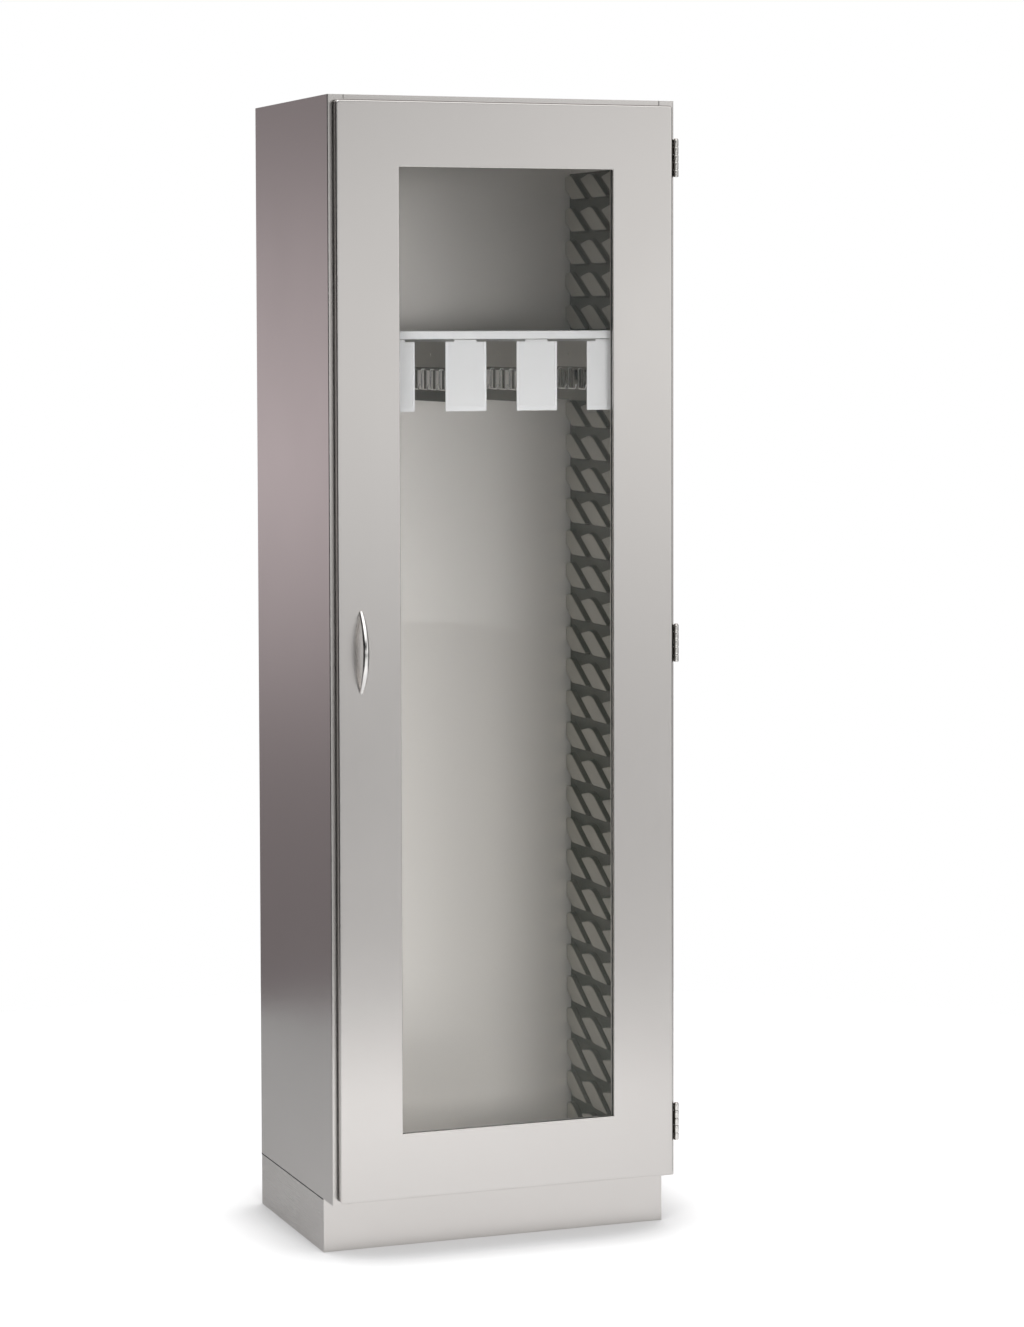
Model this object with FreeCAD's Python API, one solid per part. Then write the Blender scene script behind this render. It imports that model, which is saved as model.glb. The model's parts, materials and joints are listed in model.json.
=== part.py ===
"""Catheter storage cabinet: a tall stainless steel case on a recessed plinth, with one glazed door.

Inside, moulded liners with sloping tray channels carry a shelf, and four hangers with rows of hooks
slide out from under it. Millimetres, +X to the right, +Y to the back, +Z up. The origin is on the
floor, midway between the sides, and midway between the back of the case and the front of the handle.
"""
import FreeCAD, Part
import math
import os

from FreeCAD import Vector

# Case
case_width = 680.0
case_depth = 460.0
overall_height = 2134.0
skin = 1.2
fold_radius = 1.0
front_return = 18.0
rear_flange = 20.0
back_pan_depth = 12.0

# Plinth and levelling feet
plinth_height = 101.0
plinth_setback = 59.0
plinth_inset = 1.0
plinth_sheet = 1.5
plinth_flange = 25.0
gusset_leg = 78.0
gusset_sheet = 4.0
gusset_height = 40.0
foot_corner = 50.0
foot_radius = 17.0
foot_thick = 8.0
foot_stem_radius = 5.0
foot_nut_radius = 9.5
foot_nut_thick = 10.0

# Moulded side liners: pads stand proud between level and sloping tray channels
liner_inset = 34.0
pad_proud = 11.0
liner_sheet = 3.0
liner_top_drop = 119.0
liner_head = 12.0
row_pitch = 64.0
pad_height = 39.0
row_count = 30
pad_length = 66.0
pad_pitch = 111.0
pad_first = 79.0
pad_slope = 31.0
pad_chamfer = 16.0
pad_least_share = 0.3
liner_front_gap = 1.0
liner_floor_gap = 0.3

# Uprights that stiffen each side and carry its liner
upright_web = 40.0
upright_foot = 12.0
upright_from_ends = 70.0

# Shelf on clips that stand on the pads
rows_over_shelf_count = 5
clip_height = 7.0
clip_length = 24.0
clip_from_pad_end = 18.0
clip_chamfer = 2.0
shelf_rim = 15.0
shelf_sheet = 1.2
shelf_side_play = 2.0
shelf_back_play = 2.0
shelf_front_inset = 12.0

# Hanger guides, runners and glides
hanger_count = 4
hanger_pitch = 140.0
guide_width = 46.0
guide_sheet = 1.5
guide_slot = 20.0
runner_width = 44.0
runner_thick = 4.0
runner_play = 1.0
hanger_front = 16.0
hanger_length = 388.0
hanger_travel = 260.0
glide_length = 20.0
glide_margin = 17.0
glide_play = 0.3
glide_stem = 12.0

# Hanger plates with their hooks
hanger_sheet = 2.0
hanger_drop = 113.0
hanger_flange = 18.0
sight_hole = 4.5
sight_hole_drop = 25.0
band_height = 64.0
band_sheet = 2.0
hook_count = 7
hook_first = 61.0
hook_pitch = 52.0
hook_drop = 51.0
hook_height = 41.0
hook_reach = 32.0
hook_bar = 3.0
hook_stand_off = 6.0
hook_lip_forward = 7.0
hook_lip_up = 9.0
window_margin = 1.0
window_length = 43.0
window_height = 36.5

# Label holders at the front of the hangers
label_width = 80.0
label_height = 128.0
label_thick = 3.0
label_side = 5.0
label_foot = 9.0
label_recess = 1.0
card_thick = 0.6
card_play = 0.3

# Door
door_gap = 4.0
door_depth = 15.0
door_reveal_side = 10.0
door_reveal_top = 10.0
door_reveal_bottom = 6.0
door_frame_width = 120.5
door_corner = 7.0
door_edge_chamfer = 1.0
rebate_depth = 5.0
glass_thick = 5.0
glass_bite = 14.0
glazing_leg = 1.5
glazing_web = 2.5
glazing_set_back = 0.5
retainer_sheet = 1.5
retainer_width = 25.0
pan_overlap = 9.0
stiffener_width = 36.0
stiffener_from_edge = 26.0
seal_width = 7.0
seal_inset = 1.5
seal_play = 0.3

# Small rods, screws, stems and barrels are drawn with this many flat sides
rod_sides = 12

# Bow handle
handle_height = 1122.0
handle_from_edge = 44.0
handle_span = 138.0
handle_reach = 33.0
handle_mid_width = 11.5
handle_mid_thick = 9.0
handle_end_width = 8.5
handle_end_thick = 8.0
handle_sections = 9
handle_screw_inset = 2.4
screw_radius = 2.0
screw_bite = 5.0
screw_hole_play = 0.2
screw_head_radius = 4.0
screw_head_thick = 2.5

# Butt hinges
hinge_length = 70.0
hinge_from_end = 97.0
hinge_out = 2.5
barrel_radius = 4.75
barrel_clear = 0.5
pin_radius = 2.5
pin_play = 0.05
pin_head_radius = 4.2
pin_head_thick = 2.5
leaf_thick = 1.8
leaf_width = 17.0
leaf_notch = 6.2
knuckle_short = 13.4
knuckle_play = 0.15

# Magnetic catches
catch_length = 46.0
catch_height = 13.0
catch_from_side = 90.0
catch_play = 0.3
strike_thick = 1.5
strike_shorter = 2.0

# Places worked out from the sizes above
half_width = case_width / 2
case_back = (case_depth + door_gap + door_depth + handle_reach) / 2
case_front = case_back - case_depth
case_bottom = plinth_height
case_top = overall_height
floor_top = case_bottom + skin
ceiling = case_top - skin
liner_face = half_width - liner_inset
liner_back = liner_face + liner_sheet
pad_face = liner_face - pad_proud
front_flange = half_width - liner_back
back_wall = case_back - back_pan_depth
liner_front = case_front + front_return + liner_front_gap
liner_top = case_top - liner_top_drop
liner_bottom = floor_top + liner_floor_gap

door_back = case_front - door_gap
door_front = door_back - door_depth
door_half = half_width - door_reveal_side
door_bottom = case_bottom + door_reveal_bottom
door_top = case_top - door_reveal_top
window_half = door_half - door_frame_width
window_bottom = door_bottom + door_frame_width
window_top = door_top - door_frame_width

shelf_bottom = liner_top - liner_head - rows_over_shelf_count * row_pitch + clip_height
shelf_top = shelf_bottom + shelf_rim
shelf_half = liner_face - shelf_side_play
shelf_front = case_front + shelf_front_inset
shelf_back = back_wall - shelf_back_play

runner_top = shelf_bottom - runner_play
hanger_top = runner_top - runner_thick
hanger_y = case_front + hanger_front
label_front = hanger_y - label_thick


def box(x0, x1, y0, y1, z0, z1):
    """A block between two corners."""
    return Part.makeBox(x1 - x0, y1 - y0, z1 - z0, Vector(x0, y0, z0))


def slab(half_x, y0, y1, z0, z1):
    """A block that is as wide to the left as to the right."""
    return box(-half_x, half_x, y0, y1, z0, z1)


def rod(radius, start, way, hole=False):
    """Many-sided rod from start along way; a hole's flats, not its corners, stand at the radius."""
    if hole:
        radius /= math.cos(math.pi / rod_sides)
    turn = FreeCAD.Rotation(Vector(0, 0, 1), way)
    corners = []
    for k in range(rod_sides + 1):
        angle = (k + 0.5) * 2 * math.pi / rod_sides
        corner = Vector(radius * math.cos(angle), radius * math.sin(angle), 0)
        corners.append(start + turn.multVec(corner))
    return Part.Face(Part.makePolygon(corners)).extrude(way)


def to_left(shape):
    """The same piece on the other side of the cabinet."""
    return shape.mirror(Vector(0, 0, 0), Vector(1, 0, 0))


def save(name, shape):
    """Write one sub-part; several solids stay separate in it."""
    if isinstance(shape, list):
        shape = Part.makeCompound(shape)
    shape.exportStep("parts/" + name + ".step")


def rounded_line(points, radii):
    """Edges along a line of points, with an arc of the given radius at each corner between the ends."""
    edges = []
    last = points[0]
    for here, after, radius in zip(points[1:-1], points[2:], radii):
        into = (here - last).normalize()
        out = (after - here).normalize()
        turn = into.getAngle(out)
        if radius < 1e-6 or turn < 1e-6:
            edges.append(Part.makeLine(last, here))
            last = here
            continue
        back = radius * math.tan(turn / 2)
        start = here - into * back
        end = here + out * back
        inward = (out - into).normalize()
        middle = here + inward * (radius / math.cos(turn / 2) - radius)
        edges.append(Part.makeLine(last, start))
        edges.append(Part.Arc(start, middle, end).toShape())
        last = end
    edges.append(Part.makeLine(last, points[-1]))
    return edges


def folded_sheet(path, sheet, radius, axis, length):
    """Sheet metal folded along a path of one face, with the metal on its left, seen against axis."""
    ways = [(b - a).normalize() for a, b in zip(path, path[1:])]
    lefts = [axis.cross(way) for way in ways]
    far = [path[0] + lefts[0] * sheet]
    near_radii = []
    far_radii = []
    for corner, way, left, next_way, next_left in zip(path[1:], ways, lefts, ways[1:], lefts[1:]):
        far.append(corner + (left + next_left) * (sheet / (1 + left.dot(next_left))))
        metal_inside = axis.dot(way.cross(next_way)) > 0
        near_radii.append(radius + sheet if metal_inside else radius)
        far_radii.append(radius if metal_inside else radius + sheet)
    far.append(path[-1] + lefts[-1] * sheet)
    if radius < 1e-6:
        near_radii = [0.0] * len(near_radii)
        far_radii = near_radii
    edges = rounded_line(path, near_radii)
    edges.append(Part.makeLine(path[-1], far[-1]))
    edges += rounded_line(far[::-1], far_radii[::-1])
    edges.append(Part.makeLine(far[0], path[0]))
    wire = Part.Wire(Part.__sortEdges__(edges))
    return Part.Face(wire).extrude(axis * length)


def side_panel():
    """Right side skin: front jamb, flat side and rear flange, folded from one sheet."""
    path = [
        Vector(liner_back, case_front + front_return, case_bottom),
        Vector(liner_back, case_front, case_bottom),
        Vector(half_width, case_front, case_bottom),
        Vector(half_width, case_back, case_bottom),
        Vector(half_width - rear_flange, case_back, case_bottom),
    ]
    return folded_sheet(path, skin, fold_radius, Vector(0, 0, 1), case_top - case_bottom)


def end_panel(outer, inner, lip):
    """Top or bottom skin: outer is its outside height, inner its inside face, lip the end of the jamb."""
    low, high = sorted((outer, inner))
    sheet = slab(half_width - skin, case_front + skin, case_back - skin, low, high)
    corners = [e for e in sheet.Edges if e.BoundBox.ZLength > 0.5 * skin]
    sheet = sheet.makeChamfer(fold_radius, corners)
    notch_side = liner_back + skin + fold_radius
    notch = box(liner_back, notch_side, case_front, case_front + front_return, low, high)
    sheet = sheet.cut(Part.makeCompound([notch, to_left(notch)]))
    low, high = sorted((outer, lip))
    jamb = slab(liner_back, case_front, case_front + skin, low, high)
    toward = skin if lip < outer else -skin
    low, high = sorted((lip, lip + toward))
    jamb_return = slab(liner_back, case_front, case_front + front_return, low, high)
    rear_end = outer - rear_flange if lip < outer else outer + rear_flange
    low, high = sorted((outer, rear_end))
    rear = slab(half_width - rear_flange, case_back - skin, case_back, low, high)
    return sheet.fuse([jamb, jamb_return, rear]).removeSplitter()


def back_panel():
    """Back wall: a shallow pan whose sides turn back to the rear flanges."""
    edge = half_width - skin
    flange_end = case_back - skin - fold_radius
    path = [
        Vector(-edge, flange_end, floor_top),
        Vector(-edge, back_wall, floor_top),
        Vector(edge, back_wall, floor_top),
        Vector(edge, flange_end, floor_top),
    ]
    return folded_sheet(path, skin, fold_radius, Vector(0, 0, 1), ceiling - floor_top)


def upright(y0):
    """Hat section between the right skin and its liner, with its web on the liner."""
    wall = half_width - skin
    web = liner_back + skin
    path = [
        Vector(wall, y0 - upright_foot, floor_top),
        Vector(wall, y0, floor_top),
        Vector(web, y0, floor_top),
        Vector(web, y0 + upright_web, floor_top),
        Vector(wall, y0 + upright_web, floor_top),
        Vector(wall, y0 + upright_web + upright_foot, floor_top),
    ]
    return folded_sheet(path, skin, 0.0, Vector(0, 0, 1), ceiling - floor_top)


def side_uprights():
    """Two uprights on each side."""
    front = upright(case_front + upright_from_ends)
    rear = upright(case_back - upright_from_ends - upright_web)
    return [front, rear, to_left(front), to_left(rear)]


def plinth_board(half_length):
    """Folded channel that stands on the floor, 0 to the plinth's height, face at y = 0, web to -Y."""
    path = [
        Vector(-half_length, plinth_flange, plinth_height),
        Vector(-half_length, 0, plinth_height),
        Vector(-half_length, 0, 0),
        Vector(-half_length, plinth_flange, 0),
    ]
    return folded_sheet(path, plinth_sheet, fold_radius, Vector(1, 0, 0), 2 * half_length)


def plinth_pieces():
    """Front and rear boards between two side boards."""
    front_y = case_front + plinth_setback
    outside = half_width - plinth_inset
    front = plinth_board(outside - plinth_sheet)
    front.translate(Vector(0, front_y, 0))
    rear = plinth_board(outside - plinth_sheet)
    rear.rotate(Vector(0, 0, 0), Vector(0, 0, 1), 180)
    rear.translate(Vector(0, case_back, 0))
    web = box(outside - plinth_sheet, outside, front_y, case_back, 0, plinth_height)
    inner = outside - plinth_flange
    clear = plinth_flange + plinth_sheet
    flange = box(inner, outside, front_y + clear, case_back - clear, 0, plinth_sheet)
    upper = flange.translated(Vector(0, 0, plinth_height - plinth_sheet))
    right = web.fuse([flange, upper]).removeSplitter()
    return {
        "plinth_front": front,
        "plinth_rear": rear,
        "plinth_right": right,
        "plinth_left": to_left(right),
    }


def foot_places():
    """Centres of the four levelling feet, from the inner faces of the plinth boards."""
    x = half_width - plinth_inset - plinth_sheet - foot_corner
    front = case_front + plinth_setback + plinth_sheet + foot_corner
    rear = case_back - plinth_sheet - foot_corner
    return [(x, front), (x, rear), (-x, rear), (-x, front)]


def plinth_gussets():
    """Corner plates across the plinth, each over a foot."""
    corner_x = half_width - plinth_inset - plinth_sheet
    corner_front = case_front + plinth_setback + plinth_sheet
    corner_rear = case_back - plinth_sheet
    gussets = []
    for x, y in foot_places():
        sign_x = 1 if x > 0 else -1
        far_y = corner_rear if y > (corner_front + corner_rear) / 2 else corner_front
        sign_y = 1 if far_y == corner_rear else -1
        a = Vector(sign_x * corner_x, far_y, gusset_height)
        outline = [
            a,
            a - Vector(sign_x * gusset_leg, 0, 0),
            a - Vector(sign_x * gusset_leg, sign_y * gusset_leg / 2, 0),
            a - Vector(sign_x * gusset_leg / 2, sign_y * gusset_leg, 0),
            a - Vector(0, sign_y * gusset_leg, 0),
            a,
        ]
        gussets.append(Part.Face(Part.makePolygon(outline)).extrude(Vector(0, 0, gusset_sheet)))
    return gussets


def hexagon(radius, x, y, z, height):
    """Six-sided block on an upright axis, radius out to its corners."""
    corners = []
    for k in range(7):
        angle = k * math.pi / 3
        corners.append(Vector(x + radius * math.cos(angle), y + radius * math.sin(angle), z))
    return Part.Face(Part.makePolygon(corners)).extrude(Vector(0, 0, height))


def levelling_feet():
    """Each foot: a six-sided pad and its stem, in the weld nut under its gusset."""
    feet = []
    for x, y in foot_places():
        pad = hexagon(foot_radius, x, y, 0, foot_thick)
        nut = hexagon(foot_nut_radius, x, y, gusset_height - foot_nut_thick, foot_nut_thick)
        stem = rod(foot_stem_radius, Vector(x, y, 0), Vector(0, 0, gusset_height))
        feet.append(pad.fuse([stem, nut]).removeSplitter())
    return feet


def pad_tops():
    """Back end of each pad's top edge, from the back wall to the liner's front."""
    first = back_wall - pad_first + pad_pitch
    count = math.ceil((first - liner_front) / pad_pitch) + 1
    return [first - k * pad_pitch for k in range(count)]


def pad_row(top):
    """One row of pads: parallelograms that slope down to the front, with one corner taken off."""
    slope = math.radians(pad_slope)
    forward = pad_height / math.tan(slope)
    room = box(pad_face, liner_face, liner_front, back_wall, top - pad_height, top)
    pads = []
    for back in pad_tops():
        upper_front = Vector(pad_face, back - pad_length, top)
        corners = [
            Vector(pad_face, back - forward, top - pad_height),
            Vector(pad_face, back, top),
            upper_front + Vector(0, pad_chamfer, 0),
            upper_front - Vector(0, pad_chamfer * math.cos(slope), pad_chamfer * math.sin(slope)),
            Vector(pad_face, back - pad_length - forward, top - pad_height),
        ]
        pad = Part.Face(Part.makePolygon(corners + corners[:1])).extrude(Vector(pad_proud, 0, 0))
        inside = pad.common(room)
        if inside.Volume > pad_least_share * pad.Volume:
            pads.append(inside.Solids[0])
    return pads


def side_liner():
    """Right liner: a moulded sheet with rows of pads, and tray channels between them."""
    sheet = box(liner_face, liner_back, liner_front, back_wall, liner_bottom, liner_top)
    top = liner_top - liner_head
    row = pad_row(top)
    pads = []
    for k in range(row_count):
        if top - k * row_pitch - pad_height < liner_bottom:
            break
        pads += [pad.translated(Vector(0, 0, -k * row_pitch)) for pad in row]
    return sheet.fuse(pads).removeSplitter()


def side_filler():
    """Plain sheet above the right liner, up to the ceiling."""
    return box(liner_back - skin, liner_back, liner_front, back_wall, liner_top, ceiling)


def shelf():
    """Shelf pan with a rim turned down all round."""
    outside = slab(shelf_half, shelf_front, shelf_back, shelf_bottom, shelf_top)
    inside = slab(shelf_half - shelf_sheet, shelf_front + shelf_sheet, shelf_back - shelf_sheet,
                  shelf_bottom, shelf_top - shelf_sheet)
    return outside.cut(inside)


def shelf_clips():
    """Clips between the shelf's rim and the pads of one row, two on each side."""
    low = shelf_bottom - clip_height
    tops = [y for y in pad_tops() if y - pad_length > liner_front and y < back_wall]
    clips = []
    for back in (tops[0], tops[-1]):
        y = back - clip_from_pad_end
        clip = box(pad_face, liner_face, y - clip_length, y, low, shelf_bottom)
        inner_edges = [e for e in clip.Edges if e.BoundBox.XMax < pad_face + 0.01]
        upper_edges = [e for e in inner_edges if e.BoundBox.ZMin > shelf_bottom - 0.01]
        clip = clip.makeChamfer(clip_chamfer, upper_edges)
        clips += [clip, to_left(clip)]
    return clips


def hanger_x(k):
    """Middle of hanger k, counted from the left."""
    return (k - (hanger_count - 1) / 2) * hanger_pitch


def hanger_guides():
    """Lipped channels under the shelf, open downwards, one for each hanger."""
    guides = []
    y0 = shelf_front + shelf_sheet
    y1 = shelf_back - shelf_sheet
    for k in range(hanger_count):
        x = hanger_x(k)
        left = x - guide_width / 2
        right = x + guide_width / 2
        top = shelf_top - shelf_sheet
        path = [
            Vector(x - guide_slot / 2, y0, shelf_bottom),
            Vector(left, y0, shelf_bottom),
            Vector(left, y0, top),
            Vector(right, y0, top),
            Vector(right, y0, shelf_bottom),
            Vector(x + guide_slot / 2, y0, shelf_bottom),
        ]
        guides.append(folded_sheet(path, guide_sheet, 0.0, Vector(0, 1, 0), y1 - y0))
    return guides


def glide_places():
    """Middle of the two glides along a runner: the front one stays in the guide at full travel."""
    front = shelf_front + shelf_sheet + glide_margin + glide_length / 2 + hanger_travel
    return [front, hanger_y + hanger_length - glide_length / 2]


def glide_top():
    """Height of the glides' top, just under the guide's web."""
    return shelf_top - shelf_sheet - guide_sheet - glide_play


def glide_post(x, y, low):
    """Square post of a runner, up to the top of its glide."""
    half = glide_stem / 2
    return box(x - half, x + half, y - half, y + half, low, glide_top())


def hanger_runner(x):
    """Flat bar that passes under the shelf's rim, with a stem up into each glide."""
    half = runner_width / 2
    bar = box(x - half, x + half, hanger_y, hanger_y + hanger_length, hanger_top, runner_top)
    return bar.fuse([glide_post(x, y, runner_top) for y in glide_places()])


def hanger_glides(x):
    """Nylon blocks that ride on the guide's lips, round the runner's stems."""
    half_x = guide_width / 2 - guide_sheet - glide_play
    low = shelf_bottom + guide_sheet + glide_play
    half_y = glide_length / 2
    glides = []
    for y in glide_places():
        block = box(x - half_x, x + half_x, y - half_y, y + half_y, low, glide_top())
        glides.append(block.cut(glide_post(x, y, low)))
    return glides


def hook_places():
    """Front face of each hook's stem."""
    return [hanger_y + hook_first + k * hook_pitch for k in range(hook_count)]


def hook_windows(x0, x1):
    """Windows behind the hooks, as blocks to cut away."""
    top = hanger_top - hook_drop - hook_bar - window_margin
    return [
        box(x0, x1, y + window_margin - window_length, y + window_margin, top - window_height, top)
        for y in hook_places()
    ]


def hanger_plate(x):
    """Upright plate with a flange to the runner, a flange to the label holder, and the windows."""
    left = x - hanger_sheet / 2
    right = x + hanger_sheet / 2
    low = hanger_top - hanger_drop
    end = hanger_y + hanger_length
    web = box(left, right, hanger_y, end, low, hanger_top)
    upper = box(left, left + hanger_flange, hanger_y, end, hanger_top - hanger_sheet, hanger_top)
    front = box(left, left + hanger_flange, hanger_y, hanger_y + hanger_sheet, low, hanger_top)
    y = hanger_y + hanger_length / 2
    z = hanger_top - sight_hole_drop
    half = sight_hole / 2
    openings = hook_windows(left, right)
    openings.append(box(left, right, y - half, y + half, z - half, z + half))
    return web.fuse([upper, front]).cut(Part.makeCompound(openings)).removeSplitter()


def hook(x, y):
    """One hook of square bar: a leg to the band, a stem, a level seat forwards and a raised lip."""
    top = hanger_top - hook_drop
    seat = top - hook_height + hook_bar
    path = [
        Vector(x, y, top),
        Vector(x, y, seat),
        Vector(x, y - hook_reach, seat),
        Vector(x, y - hook_reach - hook_lip_forward, seat + hook_lip_up),
    ]
    bent = folded_sheet(path, hook_bar, 0.0, Vector(1, 0, 0), hook_bar)
    leg = box(x, x + hook_bar + hook_stand_off, y, y + hook_bar, top - hook_bar, top)
    return bent.fuse(leg).removeSplitter()


def hook_band(x):
    """Band along the foot of a hanger plate, on its left."""
    right = x - hanger_sheet / 2
    left = right - band_sheet
    low = hanger_top - hanger_drop
    band = box(left, right, hanger_y + hanger_sheet, hanger_y + hanger_length, low, low + band_height)
    return band.cut(Part.makeCompound(hook_windows(left, right)))


def hooks(x):
    """Row of hooks on the left of a band."""
    band_left = x - hanger_sheet / 2 - band_sheet
    return [hook(band_left - hook_stand_off - hook_bar, y) for y in hook_places()]


def label_holder(x):
    """Front plate of a hanger, with a shallow pocket for its card, open at the top."""
    low = hanger_top - label_height
    plate = box(x - label_width / 2, x + label_width / 2, label_front, hanger_y, low, hanger_top)
    half = label_width / 2 - label_side
    floor = label_front + label_recess
    pocket = box(x - half, x + half, label_front, floor, low + label_foot, hanger_top)
    return plate.cut(pocket)


def label_card(x):
    """Bare card in the pocket."""
    half = label_width / 2 - label_side - card_play
    low = hanger_top - label_height + label_foot
    back = label_front + label_recess
    return box(x - half, x + half, back - card_thick, back, low, hanger_top)


def frame_block(grow, y0, y1):
    """Block over the door's window, larger than it by grow all round."""
    return slab(window_half + grow, y0, y1, window_bottom - grow, window_top + grow)


def rounded_panel(inset, corner, y0, y1):
    """Block over the whole door, smaller than it by inset all round, with rounded corners."""
    panel = slab(door_half - inset, y0, y1, door_bottom + inset, door_top - inset)
    corners = [e for e in panel.Edges if e.BoundBox.YLength > 0.5 * (y1 - y0)]
    return panel.makeFillet(corner, corners) if corner > 0.05 else panel


def door_outer_skin():
    """Front of the door: a pan with rounded corners, folded back round the window as a glazing rebate."""
    body = rounded_panel(0, door_corner, door_front, door_back)
    front_edges = [e for e in body.Edges if e.BoundBox.YMax < door_front + 0.01]
    body = body.makeChamfer(door_edge_chamfer, front_edges)
    hollow = rounded_panel(skin, door_corner - skin, door_front + skin, door_back)
    rebate_back = door_front + rebate_depth
    seat = glazing_web + glass_bite
    lining = frame_block(skin, door_front, rebate_back)
    flange = frame_block(seat, rebate_back - skin, rebate_back)
    opening = frame_block(0, door_front, rebate_back)
    return body.cut(hollow).fuse([lining, flange]).cut(opening).removeSplitter()


def door_inner_pan():
    """Back sheet of the door, inside the returns of the outer skin, open where the glazing is held."""
    sheet = rounded_panel(skin, door_corner - skin, door_back - skin, door_back)
    return sheet.cut(frame_block(retainer_width - pan_overlap, door_back - skin, door_back))


def door_stiffeners():
    """Hat sections inside the two stiles of the door, under the handle's screws and the hinge leaves."""
    front = door_front + skin
    back = door_back - skin
    low = door_bottom + skin
    outer = door_half - stiffener_from_edge
    path = [
        Vector(outer, back, low),
        Vector(outer, front, low),
        Vector(outer - stiffener_width, front, low),
        Vector(outer - stiffener_width, back, low),
    ]
    right = folded_sheet(path, skin, 0.0, Vector(0, 0, -1), door_bottom - door_top + 2 * skin)
    return [right, to_left(right)]


def glass_planes():
    """Front and back face of the glass."""
    front = door_front + rebate_depth + glazing_leg
    return front, front + glass_thick


def door_glass():
    """Clear pane, larger than the window by its bite."""
    front, back = glass_planes()
    return frame_block(glass_bite, front, back)


def glazing_gasket():
    """Black channel round the edge of the pane."""
    front, back = glass_planes()
    ring = frame_block(glass_bite + glazing_web, front - glazing_leg, back + glazing_leg)
    pane = frame_block(glass_bite, front, back)
    return ring.cut(pane).cut(frame_block(glazing_set_back, front - glazing_leg, back + glazing_leg))


def glass_retainer():
    """Frame screwed on the back of the door, with a lip that presses the gasket."""
    lip_front = glass_planes()[1] + glazing_leg
    plate_back = door_back + retainer_sheet
    plate = frame_block(retainer_width, door_back, plate_back)
    lip = frame_block(glazing_set_back + retainer_sheet, lip_front, plate_back)
    return plate.fuse(lip).cut(frame_block(glazing_set_back, lip_front, plate_back)).removeSplitter()


def door_seal():
    """Soft strip between the door and the jamb."""
    jamb = half_width - front_flange
    y0 = door_back
    y1 = case_front - seal_play
    low = case_bottom + front_flange - seal_inset
    high = case_top - front_flange + seal_inset
    outer = slab(jamb + seal_inset + seal_width, y0, y1, low - seal_width, high + seal_width)
    return outer.cut(slab(jamb + seal_inset, y0, y1, low, high))


def oval_wire(centre, across, outward):
    """Oval round a centre, through the ends of two half axes square to each other."""
    normal = across.cross(outward).normalize()
    place = FreeCAD.Matrix(
        across.x, outward.x, normal.x, centre.x,
        across.y, outward.y, normal.y, centre.y,
        across.z, outward.z, normal.z, centre.z,
        0, 0, 0, 1,
    )
    return Part.Wire(Part.makeCircle(1).transformGeometry(place).Edges)


def handle():
    """Bow pull: oval sections along an arc between two flat ends, which are drilled for screws."""
    x = -door_half + handle_from_edge
    rise = handle_reach - handle_mid_thick / 2
    half = handle_span / 2
    radius = (half * half + rise * rise) / (2 * rise)
    swing = math.asin(half / radius)
    sections = []
    for k in range(handle_sections):
        share = 2 * k / (handle_sections - 1) - 1
        angle = swing * share
        swell = math.cos(share * math.pi / 2)
        out = radius * (math.cos(angle) - math.cos(swing))
        centre = Vector(x, door_front - out, handle_height + radius * math.sin(angle))
        wide = (handle_end_width + (handle_mid_width - handle_end_width) * swell) / 2
        thick = (handle_end_thick + (handle_mid_thick - handle_end_thick) * swell) / 2
        outward = Vector(0, -math.cos(angle), math.sin(angle)) * thick
        if k in (0, handle_sections - 1):
            outward = Vector(0, 0, math.copysign(thick / math.sin(swing), share))
        sections.append(oval_wire(centre, Vector(wide, 0, 0), outward))
    bow = Part.makeLoft(sections, True, True)
    holes = [rod(screw_radius, place, Vector(0, -screw_bite, 0)) for place in handle_screw_places()]
    return bow.cut(Part.makeCompound(holes))


def handle_screw_places():
    """Centres of the two screws on the face of the door."""
    x = -door_half + handle_from_edge
    reach = handle_span / 2 - handle_screw_inset
    return [Vector(x, door_front, handle_height + side * reach) for side in (-1, 1)]


def handle_screws():
    """Screws from inside the door, through the skin and the stiffener, into the ends of the bow."""
    screws = []
    for place in handle_screw_places():
        seat = place + Vector(0, 2 * skin, 0)
        shank = rod(screw_radius, seat, Vector(0, -2 * skin - screw_bite, 0))
        head = rod(screw_head_radius, seat, Vector(0, screw_head_thick, 0))
        screws.append(shank.fuse(head).removeSplitter())
    return screws


def handle_screw_holes():
    """Clearance holes through the skin and the stiffener of the door."""
    radius = screw_radius + screw_hole_play
    holes = [rod(radius, place, Vector(0, 2 * skin, 0), hole=True) for place in handle_screw_places()]
    return Part.makeCompound(holes)


def hinge_axis():
    """Where the hinge line stands, seen from above."""
    return half_width + hinge_out, case_front - barrel_clear - barrel_radius


def hinge_bottoms():
    """Lower end of each of the three hinges."""
    middles = [door_bottom + hinge_from_end, (door_bottom + door_top) / 2, door_top - hinge_from_end]
    return [z - hinge_length / 2 for z in middles]


def knuckles(case_side):
    """Ends of each knuckle of one leaf: three short ones for the case, two long ones for the door."""
    long_one = (hinge_length - 3 * knuckle_short - 4 * knuckle_play) / 2
    ends = []
    z = 0.0
    for k in range(5):
        tall = knuckle_short if k % 2 == 0 else long_one
        if (k % 2 == 0) == case_side:
            ends.append((z, z + tall))
        z += tall + knuckle_play
    return ends


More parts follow.
